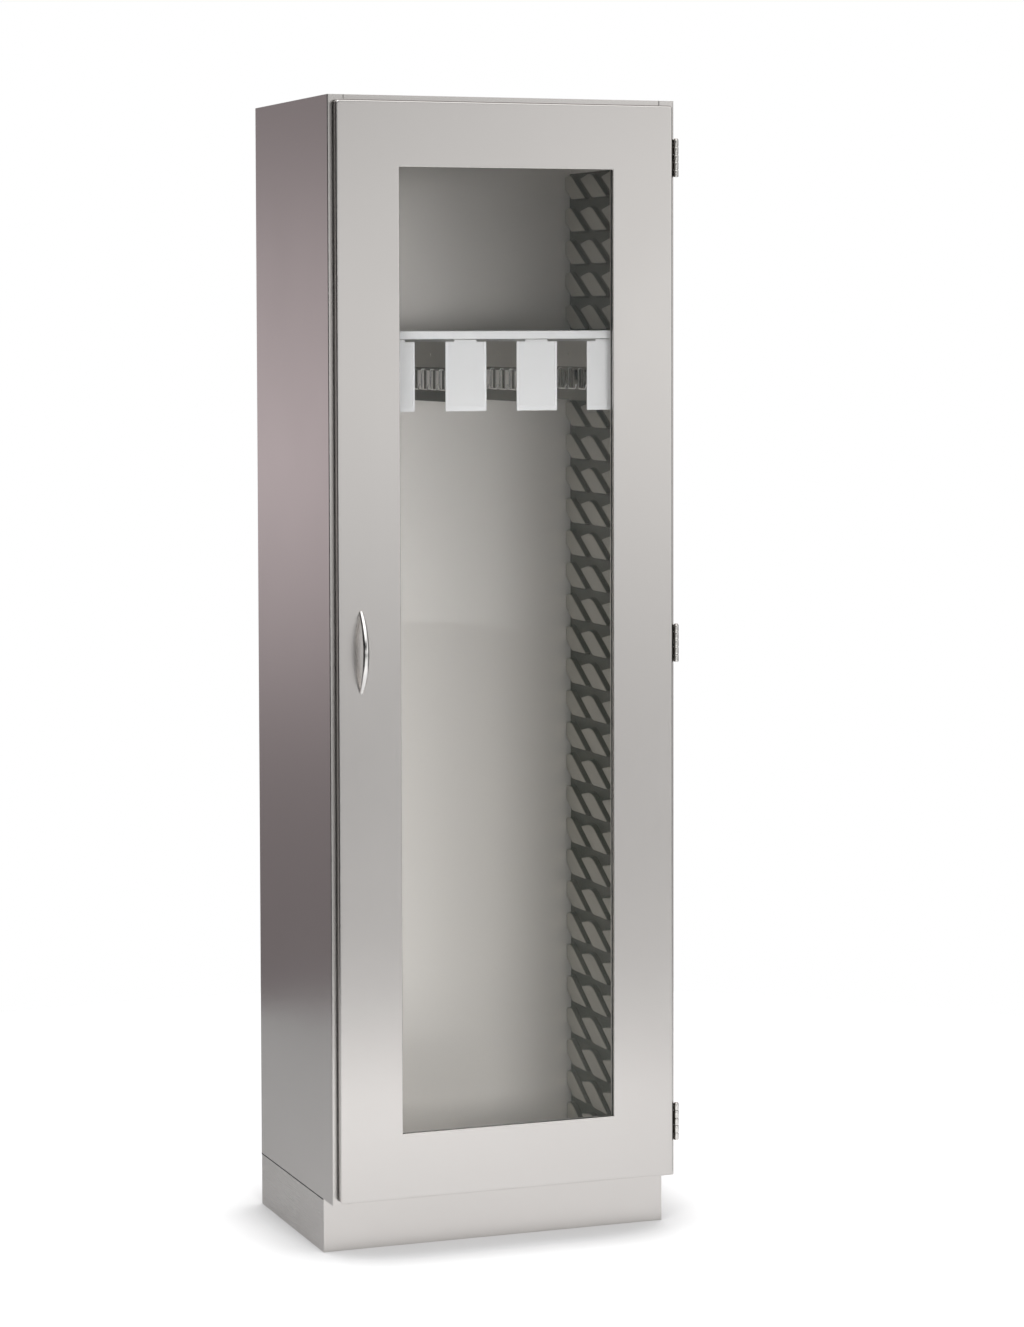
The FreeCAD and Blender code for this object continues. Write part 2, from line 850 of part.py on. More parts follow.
def hinge_leaf(z0, case_side):
    """Leaf on the jamb or on the back of the door, with its rolled knuckles bored for the pin."""
    x, y = hinge_axis()
    notch = x - leaf_notch
    if case_side:
        face0, face1, reach = case_front - leaf_thick, case_front, half_width
    else:
        face0, face1, reach = door_back, door_back + leaf_thick, x
    leaf = box(notch - leaf_width, notch, face0, face1, z0, z0 + hinge_length)
    rolls = []
    bores = []
    for low, high in knuckles(case_side):
        start = Vector(x, y, z0 + low)
        up = Vector(0, 0, high - low)
        rolls.append(rod(barrel_radius, start, up))
        rolls.append(box(notch, reach, face0, face1, z0 + low, z0 + high))
        bores.append(rod(pin_radius + pin_play, start, up, hole=True))
    return leaf.fuse(rolls).cut(Part.makeCompound(bores)).removeSplitter()


def hinge_pin(z0):
    """Pin dropped through one hinge, with its head on top of the barrel."""
    x, y = hinge_axis()
    shank = Part.makeCylinder(pin_radius, hinge_length, Vector(x, y, z0))
    head = rod(pin_head_radius, Vector(x, y, z0 + hinge_length), Vector(0, 0, pin_head_thick))
    return shank.fuse(head).removeSplitter()


def catch_block(y0, y1, shorter):
    """Blocks at the free side of the door, under the head and on the sill, shortened at each end."""
    x = -half_width + catch_from_side
    half = catch_length / 2 - shorter
    top = case_top - front_flange
    bottom = case_bottom + front_flange
    upper = box(x - half, x + half, y0, y1, top - catch_height, top)
    lower = box(x - half, x + half, y0, y1, bottom, bottom + catch_height)
    return [lower, upper]


def magnetic_catches():
    """Magnet housings fixed to the returns of the jambs."""
    return catch_block(door_back + strike_thick + catch_play, case_front + front_return, 0.0)


def strike_plates():
    """Steel plates on the back of the door, facing the magnets."""
    return catch_block(door_back, door_back + strike_thick, strike_shorter)


def main():
    os.makedirs("parts", exist_ok=True)

    right = side_panel()
    save("side_panel_right", right)
    save("side_panel_left", to_left(right))
    save("top_panel", end_panel(case_top, ceiling, case_top - front_flange))
    save("bottom_panel", end_panel(case_bottom, floor_top, case_bottom + front_flange))
    save("back_panel", back_panel())
    save("side_uprights", side_uprights())
    for name, board in plinth_pieces().items():
        save(name, board)
    save("plinth_gussets", plinth_gussets())
    save("levelling_feet", levelling_feet())

    liner = side_liner()
    save("liner_right", liner)
    save("liner_left", to_left(liner))
    filler = side_filler()
    save("liner_fillers", [filler, to_left(filler)])
    save("shelf", shelf())
    save("shelf_clips", shelf_clips())

    save("hanger_guides", hanger_guides())
    for k in range(hanger_count):
        name = "hanger_" + str(k + 1)
        x = hanger_x(k)
        save(name + "_runner", hanger_runner(x))
        save(name + "_glides", hanger_glides(x))
        save(name + "_plate", hanger_plate(x))
        save(name + "_hook_band", hook_band(x))
        save(name + "_hooks", hooks(x))
        save(name + "_label_holder", label_holder(x))
        save(name + "_label_card", label_card(x))

    holes = handle_screw_holes()
    stiffeners = door_stiffeners()
    save("door_outer_skin", door_outer_skin().cut(holes))
    save("door_stiffeners", [stiffener.cut(holes) for stiffener in stiffeners])
    save("door_inner_pan", door_inner_pan())
    save("door_glass", door_glass())
    save("glazing_gasket", glazing_gasket())
    save("glass_retainer", glass_retainer())
    save("door_seal", door_seal())
    save("handle", handle())
    save("handle_screws", handle_screws())

    save("hinge_case_leaves", [hinge_leaf(z0, True) for z0 in hinge_bottoms()])
    save("hinge_door_leaves", [hinge_leaf(z0, False) for z0 in hinge_bottoms()])
    save("hinge_pins", [hinge_pin(z0) for z0 in hinge_bottoms()])
    save("magnetic_catches", magnetic_catches())
    save("strike_plates", strike_plates())


main()
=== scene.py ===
"""Catheter storage cabinet: finishes, softened edges, moulded liners, bent hooks, hinges and handle.

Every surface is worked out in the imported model's own frame: metres, +X right, +Y back, +Z up.
"""
import json
import math

import bmesh
import bpy
import numpy as np
from mathutils import Matrix, Vector


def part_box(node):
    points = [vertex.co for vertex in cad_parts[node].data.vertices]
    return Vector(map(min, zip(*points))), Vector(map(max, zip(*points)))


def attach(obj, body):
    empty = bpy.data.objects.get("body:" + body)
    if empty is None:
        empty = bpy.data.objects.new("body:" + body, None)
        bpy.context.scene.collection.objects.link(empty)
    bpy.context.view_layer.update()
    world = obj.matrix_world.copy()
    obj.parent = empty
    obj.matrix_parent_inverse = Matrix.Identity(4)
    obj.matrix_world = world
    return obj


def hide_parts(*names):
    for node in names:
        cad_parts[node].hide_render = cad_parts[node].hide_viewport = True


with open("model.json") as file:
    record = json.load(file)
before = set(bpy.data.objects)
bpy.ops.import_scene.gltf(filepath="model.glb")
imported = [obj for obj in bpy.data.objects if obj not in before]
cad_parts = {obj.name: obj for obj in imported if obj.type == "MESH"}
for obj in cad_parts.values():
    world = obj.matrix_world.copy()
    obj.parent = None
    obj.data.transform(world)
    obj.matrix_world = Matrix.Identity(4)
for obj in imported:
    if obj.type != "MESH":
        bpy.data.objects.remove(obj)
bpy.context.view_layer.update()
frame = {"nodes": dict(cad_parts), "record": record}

scene = bpy.context.scene
scene.view_settings.view_transform = "Standard"
MM = 0.001


# Building surfaces from grids of points

def grid_faces(rows, columns, wrap_rows, wrap_columns):
    """Quads between neighbouring points of a grid; a wrapped side joins its last line to its first."""
    r = np.arange(rows if wrap_rows else rows - 1)
    c = np.arange(columns if wrap_columns else columns - 1)
    a = r[:, None] * columns + c
    b = r[:, None] * columns + (c + 1) % columns
    down = ((r + 1) % rows)[:, None] * columns
    return np.stack([a, b, down + (c + 1) % columns, down + c], axis=-1).reshape(-1, 4)


def rings(points, wrap_rows=False):
    """Closed rings in a row, joined by quads; without wrap_rows both end rings are capped by one face."""
    points = np.asarray(points, float)
    count, around = points.shape[:2]
    faces = grid_faces(count, around, wrap_rows, True).tolist()
    if not wrap_rows:
        faces.append(list(range(around))[::-1])
        faces.append(list(range((count - 1) * around, count * around)))
    return points.reshape(-1, 3), faces


def join(parts):
    """Several sets of corners and faces as one."""
    corners, faces, start = [], [], 0
    for points, part_faces in parts:
        corners.append(points)
        faces += [[start + i for i in face] for face in part_faces]
        start += len(points)
    return np.concatenate(corners), faces


def make_piece(name, parts, body, stands_for, finish, sharp=38):
    """One object from closed parts given in millimetres, with outward faces, on a body of the model."""
    points, faces = join(parts)
    mesh = bpy.data.meshes.new(name)
    mesh.from_pydata((points * MM).tolist(), [], faces)
    work = bmesh.new()
    work.from_mesh(mesh)
    bmesh.ops.remove_doubles(work, verts=work.verts, dist=1e-6)
    bmesh.ops.recalc_face_normals(work, faces=work.faces)
    work.to_mesh(mesh)
    work.free()
    return dress(name, mesh, body, stands_for, finish, sharp)


def dress(name, mesh, body, stands_for, finish, sharp):
    """Smooth shading up to the sharp angle, finish, body and replaced nodes."""
    mesh.polygons.foreach_set("use_smooth", [True] * len(mesh.polygons))
    mesh.set_sharp_from_angle(angle=math.radians(sharp))
    piece = bpy.data.objects.new(name, mesh)
    scene.collection.objects.link(piece)
    mesh.materials.append(finish)
    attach(piece, body)
    if stands_for:
        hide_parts(*stands_for)
    return piece


def softened(name, node, body, finish, width, segments=2):
    """The node's own shape with its sharp edges rounded by a bevel of the given width."""
    work = bmesh.new()
    work.from_mesh(frame["nodes"][node].data)
    bmesh.ops.remove_doubles(work, verts=work.verts, dist=1e-6)
    bmesh.ops.dissolve_limit(work, angle_limit=math.radians(1), verts=work.verts, edges=work.edges)
    mesh = bpy.data.meshes.new(name)
    work.to_mesh(mesh)
    work.free()
    piece = dress(name, mesh, body, [node], finish, sharp=40)
    bevel = piece.modifiers.new("soft edges", "BEVEL")
    bevel.width = width * MM
    bevel.segments = segments
    bevel.limit_method = "ANGLE"
    bevel.angle_limit = math.radians(35)
    bevel.use_clamp_overlap = True
    bevel.harden_normals = True
    return piece


# Outlines: rows of flat points, and how they stand in the cabinet

def across_at(flat, y):
    """Outline of width and height, standing across the cabinet at depth y."""
    return np.stack([flat[:, 0], np.full(len(flat), y), flat[:, 1]], axis=1)


def along_at(flat, x):
    """Outline of depth and height, standing from front to back at x."""
    return np.stack([np.full(len(flat), x), flat[:, 0], flat[:, 1]], axis=1)


def flat_cross(u, v):
    """Cross product of rows of flat directions."""
    return u[:, 0] * v[:, 1] - u[:, 1] * v[:, 0]


def signed_area(corners):
    """Area inside an outline, below zero where it runs clockwise."""
    p = np.asarray(corners, float)
    return np.sum(flat_cross(p, np.roll(p, -1, axis=0))) / 2


def area_of(corners):
    """Area inside an outline, none where it has lost its corners."""
    return abs(signed_area(corners)) if len(corners) > 2 else 0.0


def inset_rectangle(low, high, inset):
    """Corners of a rectangle with its sides moved in."""
    (a0, b0), (a1, b1) = low, high
    a0, b0, a1, b1 = a0 + inset, b0 + inset, a1 - inset, b1 - inset
    return [(a0, b0), (a1, b0), (a1, b1), (a0, b1)]


# The most of a side that one arc takes up, so that the arcs at its two ends don't meet
MOST_OF_SIDE = 0.48


def arc_corner(corner, before, after, radius, count):
    """Points of an arc that rounds one corner of an outline."""
    into = (corner - before) / np.linalg.norm(corner - before)
    out = (after - corner) / np.linalg.norm(after - corner)
    turn = math.acos(max(-1.0, min(1.0, float(into @ out))))
    if turn < 1e-4 or radius <= 0:
        return np.repeat(corner[None], count, axis=0)
    shorter_side = min(np.linalg.norm(corner - before), np.linalg.norm(after - corner))
    back = min(radius * math.tan(turn / 2), MOST_OF_SIDE * shorter_side)
    radius = back / math.tan(turn / 2)
    middle = corner + (out - into) / np.linalg.norm(out - into) * (radius / math.cos(turn / 2))
    share = np.linspace(0, 1, count)[:, None]
    start, end = corner - into * back - middle, corner + out * back - middle
    arc = (np.sin((1 - share) * turn) * start + np.sin(share * turn) * end) / math.sin(turn)
    return middle + arc


def rounded_outline(corners, radii, counts):
    """Closed outline with each corner rounded by an arc of its own radius."""
    corners = np.asarray(corners, float)
    n = len(corners)
    return np.concatenate([
        arc_corner(corners[k], corners[k - 1], corners[(k + 1) % n], radii[k], counts[k])
        for k in range(n)
    ])


def moved_in(corners, distance):
    """Convex outline with every side moved in by a distance; corners are where the moved sides meet."""
    corners = np.asarray(corners, float)
    sides = np.roll(corners, -1, axis=0) - corners
    sides /= np.linalg.norm(sides, axis=1)[:, None]
    inward = np.stack([-sides[:, 1], sides[:, 0]], axis=1) * np.sign(signed_area(corners))
    start = corners + inward * distance
    last_start, last_side = np.roll(start, 1, axis=0), np.roll(sides, 1, axis=0)
    reach = flat_cross(start - last_start, sides) / flat_cross(last_side, sides)
    return last_start + last_side * reach[:, None]


def clipped(corners, radii, counts, edge, keep_above):
    """Convex outline cut by the line where its first coordinate equals edge, with small arcs at the cut."""
    cut_radius, cut_points = 1.0, 3
    sign = 1 if keep_above else -1
    new = []
    n = len(corners)
    for k in range(n):
        here, after = corners[k], corners[(k + 1) % n]
        inside, next_inside = sign * (here[0] - edge) >= 0, sign * (after[0] - edge) >= 0
        if inside:
            new.append((here, radii[k], counts[k]))
        if inside != next_inside:
            t = (edge - here[0]) / (after[0] - here[0])
            new.append((here + (after - here) * t, cut_radius, cut_points))
    if not new:
        return [], [], []
    points, radii, counts = zip(*new)
    return list(points), list(radii), list(counts)


def upright_ring(half, low, high, corner, y, count):
    """Rounded rectangle, as wide to the left as to the right, that stands across the cabinet at depth y."""
    corners = [(-half, low), (half, low), (half, high), (-half, high)]
    return across_at(rounded_outline(corners, [corner] * 4, [count] * 4), y)


def quarter(radius, count=5):
    """Quarter arc as pairs that run from 0 to radius and from radius to 0."""
    angle = np.linspace(0, np.pi / 2, count)
    return radius * (1 - np.cos(angle)), radius * (1 - np.sin(angle))


# Bars, turned bodies and blocks

def path_rounded(points, radii, count=6):
    """Open path in space with its inner corners rounded."""
    points = np.asarray(points, float)
    middle = [
        arc_corner(points[k], points[k - 1], points[k + 1], radii[k - 1], count)
        for k in range(1, len(points) - 1)
    ]
    return np.concatenate([points[:1], *middle, points[-1:]])


# Circles at a wire's start, along it and at its end: step along the path and size, as shares of the radius
WIRE_START = ((0.0, 0.6), (0.3, 1.0))
WIRE_RUN = ((0.0, 1.0),)
WIRE_END = ((-0.5, 1.0), (-0.15, 0.85), (0.0, 0.5))


def wire(path, radius, sides):
    """Round bar: a circle carried along a path, square to it, shrunk to a small flat at both ends."""
    path = np.asarray(path, float)
    way = np.gradient(path, axis=0)
    way /= np.linalg.norm(way, axis=1)[:, None]
    aslant = [0.3, 0.5, 0.8]
    across = np.cross(way[0], aslant)
    across /= np.linalg.norm(across)
    angle = np.linspace(0, 2 * np.pi, sides, endpoint=False)[:, None]
    rows = []
    for k, (point, along) in enumerate(zip(path, way)):
        across = across - along * (across @ along)
        across /= np.linalg.norm(across)
        circle = np.cos(angle) * across + np.sin(angle) * np.cross(along, across)
        steps = WIRE_RUN
        if k == 0:
            steps = WIRE_START
        elif k == len(path) - 1:
            steps = WIRE_END
        rows += [point + (along * step + circle * size) * radius for step, size in steps]
    return rings(rows)


def turned(profile, centre, sides, axis=2):
    """Body of revolution: radius and height pairs turned about an upright axis (2) or a level one (1)."""
    profile = np.asarray(profile, float)
    angle = np.linspace(0, 2 * np.pi, sides, endpoint=False)
    radius, height = profile[:, :1], profile[:, 1:]
    first, second, third = {2: (0, 1, 2), 1: (0, 2, 1)}[axis]
    points = np.empty((len(profile), sides, 3))
    points[..., first] = radius * np.cos(angle)
    points[..., second] = radius * np.sin(angle)
    points[..., third] = height
    return rings(points + np.asarray(centre, float))


def block(low, high, edge):
    """Rectangular block with small chamfers: rings of its outline, smaller by edge at both ends."""
    (x0, y0, z0), (x1, y1, z1) = low, high
    rows = []
    for inset, y in ((edge, y0), (0.0, y0 + edge), (0.0, y1 - edge), (edge, y1)):
        corners = inset_rectangle((x0, z0), (x1, z1), inset)
        rows.append(across_at(rounded_outline(corners, [edge * 1.5] * 4, [3] * 4), y))
    return rings(rows)


def mirrored(part):
    """The same part on the other side of the cabinet."""
    points, faces = part
    return points * [-1, 1, 1], [face[::-1] for face in faces]


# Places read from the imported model, in millimetres

def place(node):
    """Lowest and highest corner of a node in millimetres."""
    low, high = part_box(node)
    return np.array(low) / MM, np.array(high) / MM


liner_low, liner_high = place("liner_right")
PAD_FACE = liner_low[0]
door_low, door_high = place("door_outer_skin")
DOOR_HALF, DOOR_FRONT, DOOR_BACK = door_high[0], door_low[1], door_high[1]
DOOR_BOTTOM, DOOR_TOP = door_low[2], door_high[2]
pin_low, pin_high = place("hinge_pins")
HINGE_X, HINGE_Y = (pin_low[0] + pin_high[0]) / 2, (pin_low[1] + pin_high[1]) / 2
BARREL = 4.75


# Nodes that the finishes share

def new_finish(name, colour, metallic, roughness):
    """A principled finish and its node tree."""
    material = bpy.data.materials.new(name)
    material.use_nodes = True
    tree = material.node_tree
    shader = tree.nodes["Principled BSDF"]
    shader.inputs["Base Color"].default_value = (*colour, 1)
    shader.inputs["Metallic"].default_value = metallic
    shader.inputs["Roughness"].default_value = roughness
    return material, tree, shader


def own_axes(tree):
    """The piece's own coordinates to the right, to the back and up, in metres."""
    where = tree.nodes.new("ShaderNodeTexCoord")
    split = tree.nodes.new("ShaderNodeSeparateXYZ")
    tree.links.new(where.outputs["Object"], split.inputs[0])
    return [split.outputs[axis] for axis in "XYZ"]


def noise(tree, scale, detail, stretch=(1, 1, 1)):
    """Noise on the piece's own coordinates, stretched along the axes; most values lie from 0.3 to 0.7."""
    where = tree.nodes.new("ShaderNodeTexCoord")
    mapping = tree.nodes.new("ShaderNodeMapping")
    mapping.inputs["Scale"].default_value = stretch
    texture = tree.nodes.new("ShaderNodeTexNoise")
    texture.inputs["Scale"].default_value = scale
    texture.inputs["Detail"].default_value = detail
    tree.links.new(where.outputs["Object"], mapping.inputs["Vector"])
    tree.links.new(mapping.outputs["Vector"], texture.inputs["Vector"])
    return texture.outputs["Fac"]


def feed(tree, socket, value):
    """A socket set to a number or a colour, or linked to another node's output."""
    if isinstance(value, bpy.types.NodeSocket):
        tree.links.new(value, socket)
    else:
        socket.default_value = (*value, 1) if isinstance(value, tuple) else value


def spread(tree, value, low, high, to_low=0.0, to_high=1.0, easing="LINEAR"):
    """Value mapped from one range to another, evenly or eased at both ends."""
    node = tree.nodes.new("ShaderNodeMapRange")
    node.interpolation_type = easing
    limits = {"From Min": low, "From Max": high, "To Min": to_low, "To Max": to_high}
    for socket, number in limits.items():
        node.inputs[socket].default_value = number
    tree.links.new(value, node.inputs["Value"])
    return node.outputs["Result"]


def combined(tree, operation, *values):
    """Math on numbers and other nodes' values."""
    node = tree.nodes.new("ShaderNodeMath")
    node.operation = operation
    for socket, value in zip(node.inputs, values):
        feed(tree, socket, value)
    return node.outputs[0]


def blend_colours(tree, share, first, second, blend="MIX"):
    """Colour between two, or their product, by a share from 0 to 1."""
    node = tree.nodes.new("ShaderNodeMix")
    node.data_type = "RGBA"
    node.blend_type = blend
    for socket, value in (("Factor", share), ("A", first), ("B", second)):
        feed(tree, node.inputs[socket], value)
    return node.outputs["Result"]


def clouded_colour(tree, shader, cloud, low, high, first, second):
    """Base colour that changes between two as the cloud goes from low to high."""
    share = spread(tree, cloud, low, high)
    tree.links.new(blend_colours(tree, share, first, second), shader.inputs["Base Color"])


def darken(material, share, dark):
    """Base colour blended to a dark one, by a share from 0 to 1: painted shade."""
    tree = material.node_tree
    base = tree.nodes["Principled BSDF"].inputs["Base Color"]
    tree.links.new(blend_colours(tree, share, base.links[0].from_socket, dark), base)


def add_bump(tree, shader, height, strength, distance):
    """Relief from a height value."""
    bump = tree.nodes.new("ShaderNodeBump")
    bump.inputs["Strength"].default_value = strength
    bump.inputs["Distance"].default_value = distance
    tree.links.new(height, bump.inputs["Height"])
    tree.links.new(bump.outputs["Normal"], shader.inputs["Normal"])


def ray_kinds(tree):
    """Whether a ray comes from a mirroring surface, and whether it is seen plainly or through glass."""
    rays = tree.nodes.new("ShaderNodeLightPath").outputs
    seen = combined(tree, "MAXIMUM", rays["Is Camera Ray"], rays["Is Transmission Ray"])
    return rays["Is Glossy Ray"], seen


def toned(colour, *factors):
    """The colour, darker or lighter by each factor."""
    return [tuple(channel * factor for channel in colour) for factor in factors]


# Finishes

def brushed_steel(name, colour, roughness, grain, sheen_axis, anisotropy=0.35, metallic=1.0):
    """Satin stainless sheet: fine streaks along the grain, a cloudy polish, and sheen about an axis."""
    material, tree, shader = new_finish(name, colour, metallic, roughness)
    streak_scale, cloud_scale, along_grain, uneven = 1500, 2.6, 0.012, 0.012
    streaks = noise(tree, streak_scale, 2, [along_grain if axis == grain else 1.0 for axis in "XYZ"])
    clouds = noise(tree, cloud_scale, 3)
    fine = spread(tree, streaks, 0.3, 0.7, -uneven, uneven)
    cloudy = spread(tree, clouds, 0.3, 0.7, roughness - uneven, roughness + uneven)
    tree.links.new(combined(tree, "ADD", fine, cloudy), shader.inputs["Roughness"])
    clouded_colour(tree, shader, streaks, 0.25, 0.75, *toned(colour, 0.985, 1.013))
    add_bump(tree, shader, streaks, 0.008, 0.00005)
    tangent = tree.nodes.new("ShaderNodeTangent")
    tangent.direction_type = "RADIAL"
    tangent.axis = sheen_axis
    tree.links.new(tangent.outputs["Tangent"], shader.inputs["Tangent"])
    shader.inputs["Anisotropic"].default_value = anisotropy
    return material


def paint_door_shade(material):
    """Painted shade: darker base colour at the rear of the door's walls, and painted dark lines on the
    outside of its top and right edges, where the gaps round the door lie in shade.
    """
    tree = material.node_tree
    right, deep, up = own_axes(tree)
    rear = spread(tree, deep, (DOOR_BACK - 7.5) * MM, (DOOR_BACK - 4.5) * MM)
    in_front = spread(tree, deep, (DOOR_FRONT + 2.5) * MM, (DOOR_FRONT + 3.5) * MM, 1.0, 0.0)
    top_line = spread(tree, up, (DOOR_TOP - 2.0) * MM, (DOOR_TOP - 1.2) * MM, 0.0, 0.9)
    right_line = spread(tree, right, (DOOR_HALF - 1.8) * MM, (DOOR_HALF - 1.0) * MM, 0.0, 0.9)
    line = combined(tree, "MULTIPLY", combined(tree, "MAXIMUM", top_line, right_line), in_front)
    darken(material, combined(tree, "MAXIMUM", rear, line), (0.10, 0.09, 0.08))


def paint_hinge_shade(material):
    """Painted shade: darker base colour in the gap between door and knuckles, and inside the joints of the
    knuckles, where shade falls.
    """
    tree = material.node_tree
    right, deep, _ = own_axes(tree)
    knuckle_side = HINGE_X - BARREL
    gap_middle = (knuckle_side + DOOR_HALF) / 2 * MM
    gap_reach = ((knuckle_side - DOOR_HALF) / 2 + 0.6) * MM
    in_gap = combined(tree, "COMPARE", right, gap_middle, gap_reach)
    aside = combined(tree, "SUBTRACT", right, HINGE_X * MM)
    behind = combined(tree, "SUBTRACT", deep, HINGE_Y * MM)
    squares = [combined(tree, "MULTIPLY", offset, offset) for offset in (aside, behind)]
    from_pin = combined(tree, "SQRT", combined(tree, "ADD", *squares))
    in_joint = spread(tree, from_pin, (BARREL - 0.9) * MM, (BARREL - 0.3) * MM, 1.0, 0.0)
    darken(material, combined(tree, "MAXIMUM", in_gap, in_joint), (0.07, 0.06, 0.05))


def powder_coat(name, colour, roughness):
    """Painted sheet: a faint orange-peel relief and a slight change of tone."""
    material, tree, shader = new_finish(name, colour, 0.0, roughness)
    peel_grain = 0.0011
    peel = noise(tree, 1 / peel_grain, 2)
    clouded_colour(tree, shader, noise(tree, 4, 3), 0.3, 0.7, *toned(colour, 0.97, 1.025))
    rough = spread(tree, peel, 0.3, 0.7, roughness - 0.04, roughness + 0.05)
    tree.links.new(rough, shader.inputs["Roughness"])
    add_bump(tree, shader, peel, 0.12, 0.0001)
    return material


def moulded_plastic(name, colour, roughness, grain, relief):
    """Moulded plastic: fine spark texture, slight flow marks, soft sheen."""
    material, tree, shader = new_finish(name, colour, 0.0, roughness)
    spark = noise(tree, 1 / grain, 3)
    flow = noise(tree, 9, 2, (1, 1, 0.35))
    clouded_colour(tree, shader, flow, 0.3, 0.7, *toned(colour, 0.93, 1.06))
    rough = spread(tree, spark, 0.25, 0.75, roughness - 0.07, roughness + 0.08)
    tree.links.new(rough, shader.inputs["Roughness"])
    add_bump(tree, shader, spark, relief, 0.00012)
    return material


def liner_moulding(name, face_colour, channel_shade):
    """Moulded liner with painted shade: pale pad faces, and a much darker colour on the walls and channels
    behind them, where shade falls.
    """
    material, tree, shader = new_finish(name, face_colour, 0.0, 0.5)
    spark_scale, flow_scale = 1250, 9
    beside = combined(tree, "ABSOLUTE", own_axes(tree)[0])
    # Colour darkens with depth behind the pad faces: painted shade in the channels.
    deep = spread(tree, beside, (PAD_FACE + 0.6) * MM, (PAD_FACE + 3.0) * MM)
    flow = spread(tree, noise(tree, flow_scale, 2, (1, 1, 0.35)), 0.3, 0.7, -0.08, 0.08)
    share = combined(tree, "ADD", deep, flow)
    tree.links.new(blend_colours(tree, share, face_colour, channel_shade), shader.inputs["Base Color"])
    spark = noise(tree, spark_scale, 3)
    tree.links.new(spread(tree, spark, 0.25, 0.75, 0.43, 0.58), shader.inputs["Roughness"])
    add_bump(tree, shader, spark, 0.2, 0.00012)
    return material


def soft_rubber(name):
    """Black rubber with a matt, slightly dusty skin."""
    material, tree, shader = new_finish(name, (0.022, 0.022, 0.022), 0.0, 0.7)
    dust = noise(tree, 60, 4)
    clouded_colour(tree, shader, dust, 0.35, 0.75, (0.016, 0.016, 0.016), (0.04, 0.039, 0.037))
    tree.links.new(spread(tree, dust, 0.3, 0.7, 0.6, 0.78), shader.inputs["Roughness"])
    add_bump(tree, shader, noise(tree, 1400, 2), 0.15, 0.0001)
    return material


def paper_card(name):
    """Matt card with a faint fibre."""
    material, tree, shader = new_finish(name, (0.83, 0.83, 0.825), 0.0, 0.8)
    fibre = noise(tree, 700, 4, (1, 1, 0.5))
    clouded_colour(tree, shader, fibre, 0.3, 0.7, (0.785, 0.783, 0.785), (0.835, 0.833, 0.835))
    add_bump(tree, shader, fibre, 0.1, 0.00008)
    return material


def clear_pane(name):
    """Clear pane: nearly all light passes, with a faint green tint and a thin gloss."""
    material, tree, shader = new_finish(name, (0.03, 0.055, 0.045), 0.0, 0.0)
    shader.inputs["Alpha"].default_value = 0.07
    shader.inputs["Specular IOR Level"].default_value = 1.0
    shader.inputs["Coat Weight"].default_value = 1.0
    shader.inputs["Coat Roughness"].default_value = 0.0
    tree.links.new(spread(tree, noise(tree, 6, 1), 0.3, 0.7, 0.0, 0.012), shader.inputs["Roughness"])
    return material


STEEL = (0.62, 0.597, 0.578)
HINGE_STEEL = (0.74, 0.72, 0.69)
PALE_STEEL = (0.80, 0.765, 0.725)
steel_upright = brushed_steel("satin stainless, upright grain", STEEL, 0.25, "Z", "Z")
# The door's own copy of the upright steel; painted shade is added to it below.
shaded_door_steel = brushed_steel("satin stainless, door, painted shade", STEEL, 0.25, "Z", "Z")
steel_level = brushed_steel("satin stainless, level grain", STEEL, 0.25, "X", "X")
steel_plinth_side = brushed_steel("satin stainless, plinth sides", STEEL, 0.27, "Y", "Y")
# The leaves' steel carries painted shade; the pins use an unshaded copy of the same steel.
shaded_hinge_steel = brushed_steel("hinge steel, painted shade", HINGE_STEEL, 0.26, "Z", "Z", anisotropy=0.1)
steel_pin = brushed_steel("hinge pin steel", HINGE_STEEL, 0.26, "Z", "Z", anisotropy=0.1)
steel_bow = brushed_steel("satin bow handle", (0.72, 0.705, 0.69), 0.2, "Z", "Z", anisotropy=0.2)
steel_wire = brushed_steel("bright hook wire", (0.93, 0.92, 0.9), 0.18, "Y", "Z", anisotropy=0.0)
plate_metal = brushed_steel("hanger plate metal", (0.64, 0.615, 0.58), 0.38, "Y", "X", 0.2, metallic=0.7)
steel_inside = brushed_steel("satin stainless, inside", PALE_STEEL, 0.36, "Z", "Z", 0.2, metallic=0.5)
white_paint = powder_coat("white enamel", (0.83, 0.827, 0.83), 0.33)
band_paint = powder_coat("hook band, brown grey", (0.205, 0.187, 0.16), 0.45)
# The liner's dark channel colour is painted shade.
liner_plastic = liner_moulding("moulded liner, warm grey", (0.385, 0.357, 0.314), (0.08, 0.071, 0.058))
nylon = moulded_plastic("grey nylon", (0.5, 0.5, 0.49), 0.45, 0.0006, 0.1)
rubber = soft_rubber("black rubber")
card = paper_card("blank card")
glass = clear_pane("clear float glass")
# Painted shade goes into the door's and the hinges' own copies of the steel.
paint_door_shade(shaded_door_steel)
paint_hinge_shade(shaded_hinge_steel)

node_finish = {
    "stainless_steel": steel_upright, "plinth_steel": steel_level, "inner_sheet": steel_inside,
    "moulded_liner": liner_plastic, "white_enamel": white_paint, "hanger_plate_steel": plate_metal,
    "hook_band_steel": band_paint, "hook_wire": steel_wire, "blank_card": card, "grey_nylon": nylon,
    "clear_glass": glass, "black_rubber": rubber, "satin_handle": steel_bow, "hinge_steel": shaded_hinge_steel,
}
own_finish = {
    "top_panel": steel_level, "bottom_panel": steel_level,
    "plinth_left": steel_plinth_side, "plinth_right": steel_plinth_side,
}
slot_of = {row["node"]: row["material_slot"] for row in frame["record"]["subparts"]}
for name, node in frame["nodes"].items():
    node.data.materials.clear()
    node.data.materials.append(own_finish.get(name, node_finish[slot_of[name]]))


# Moulded side liners

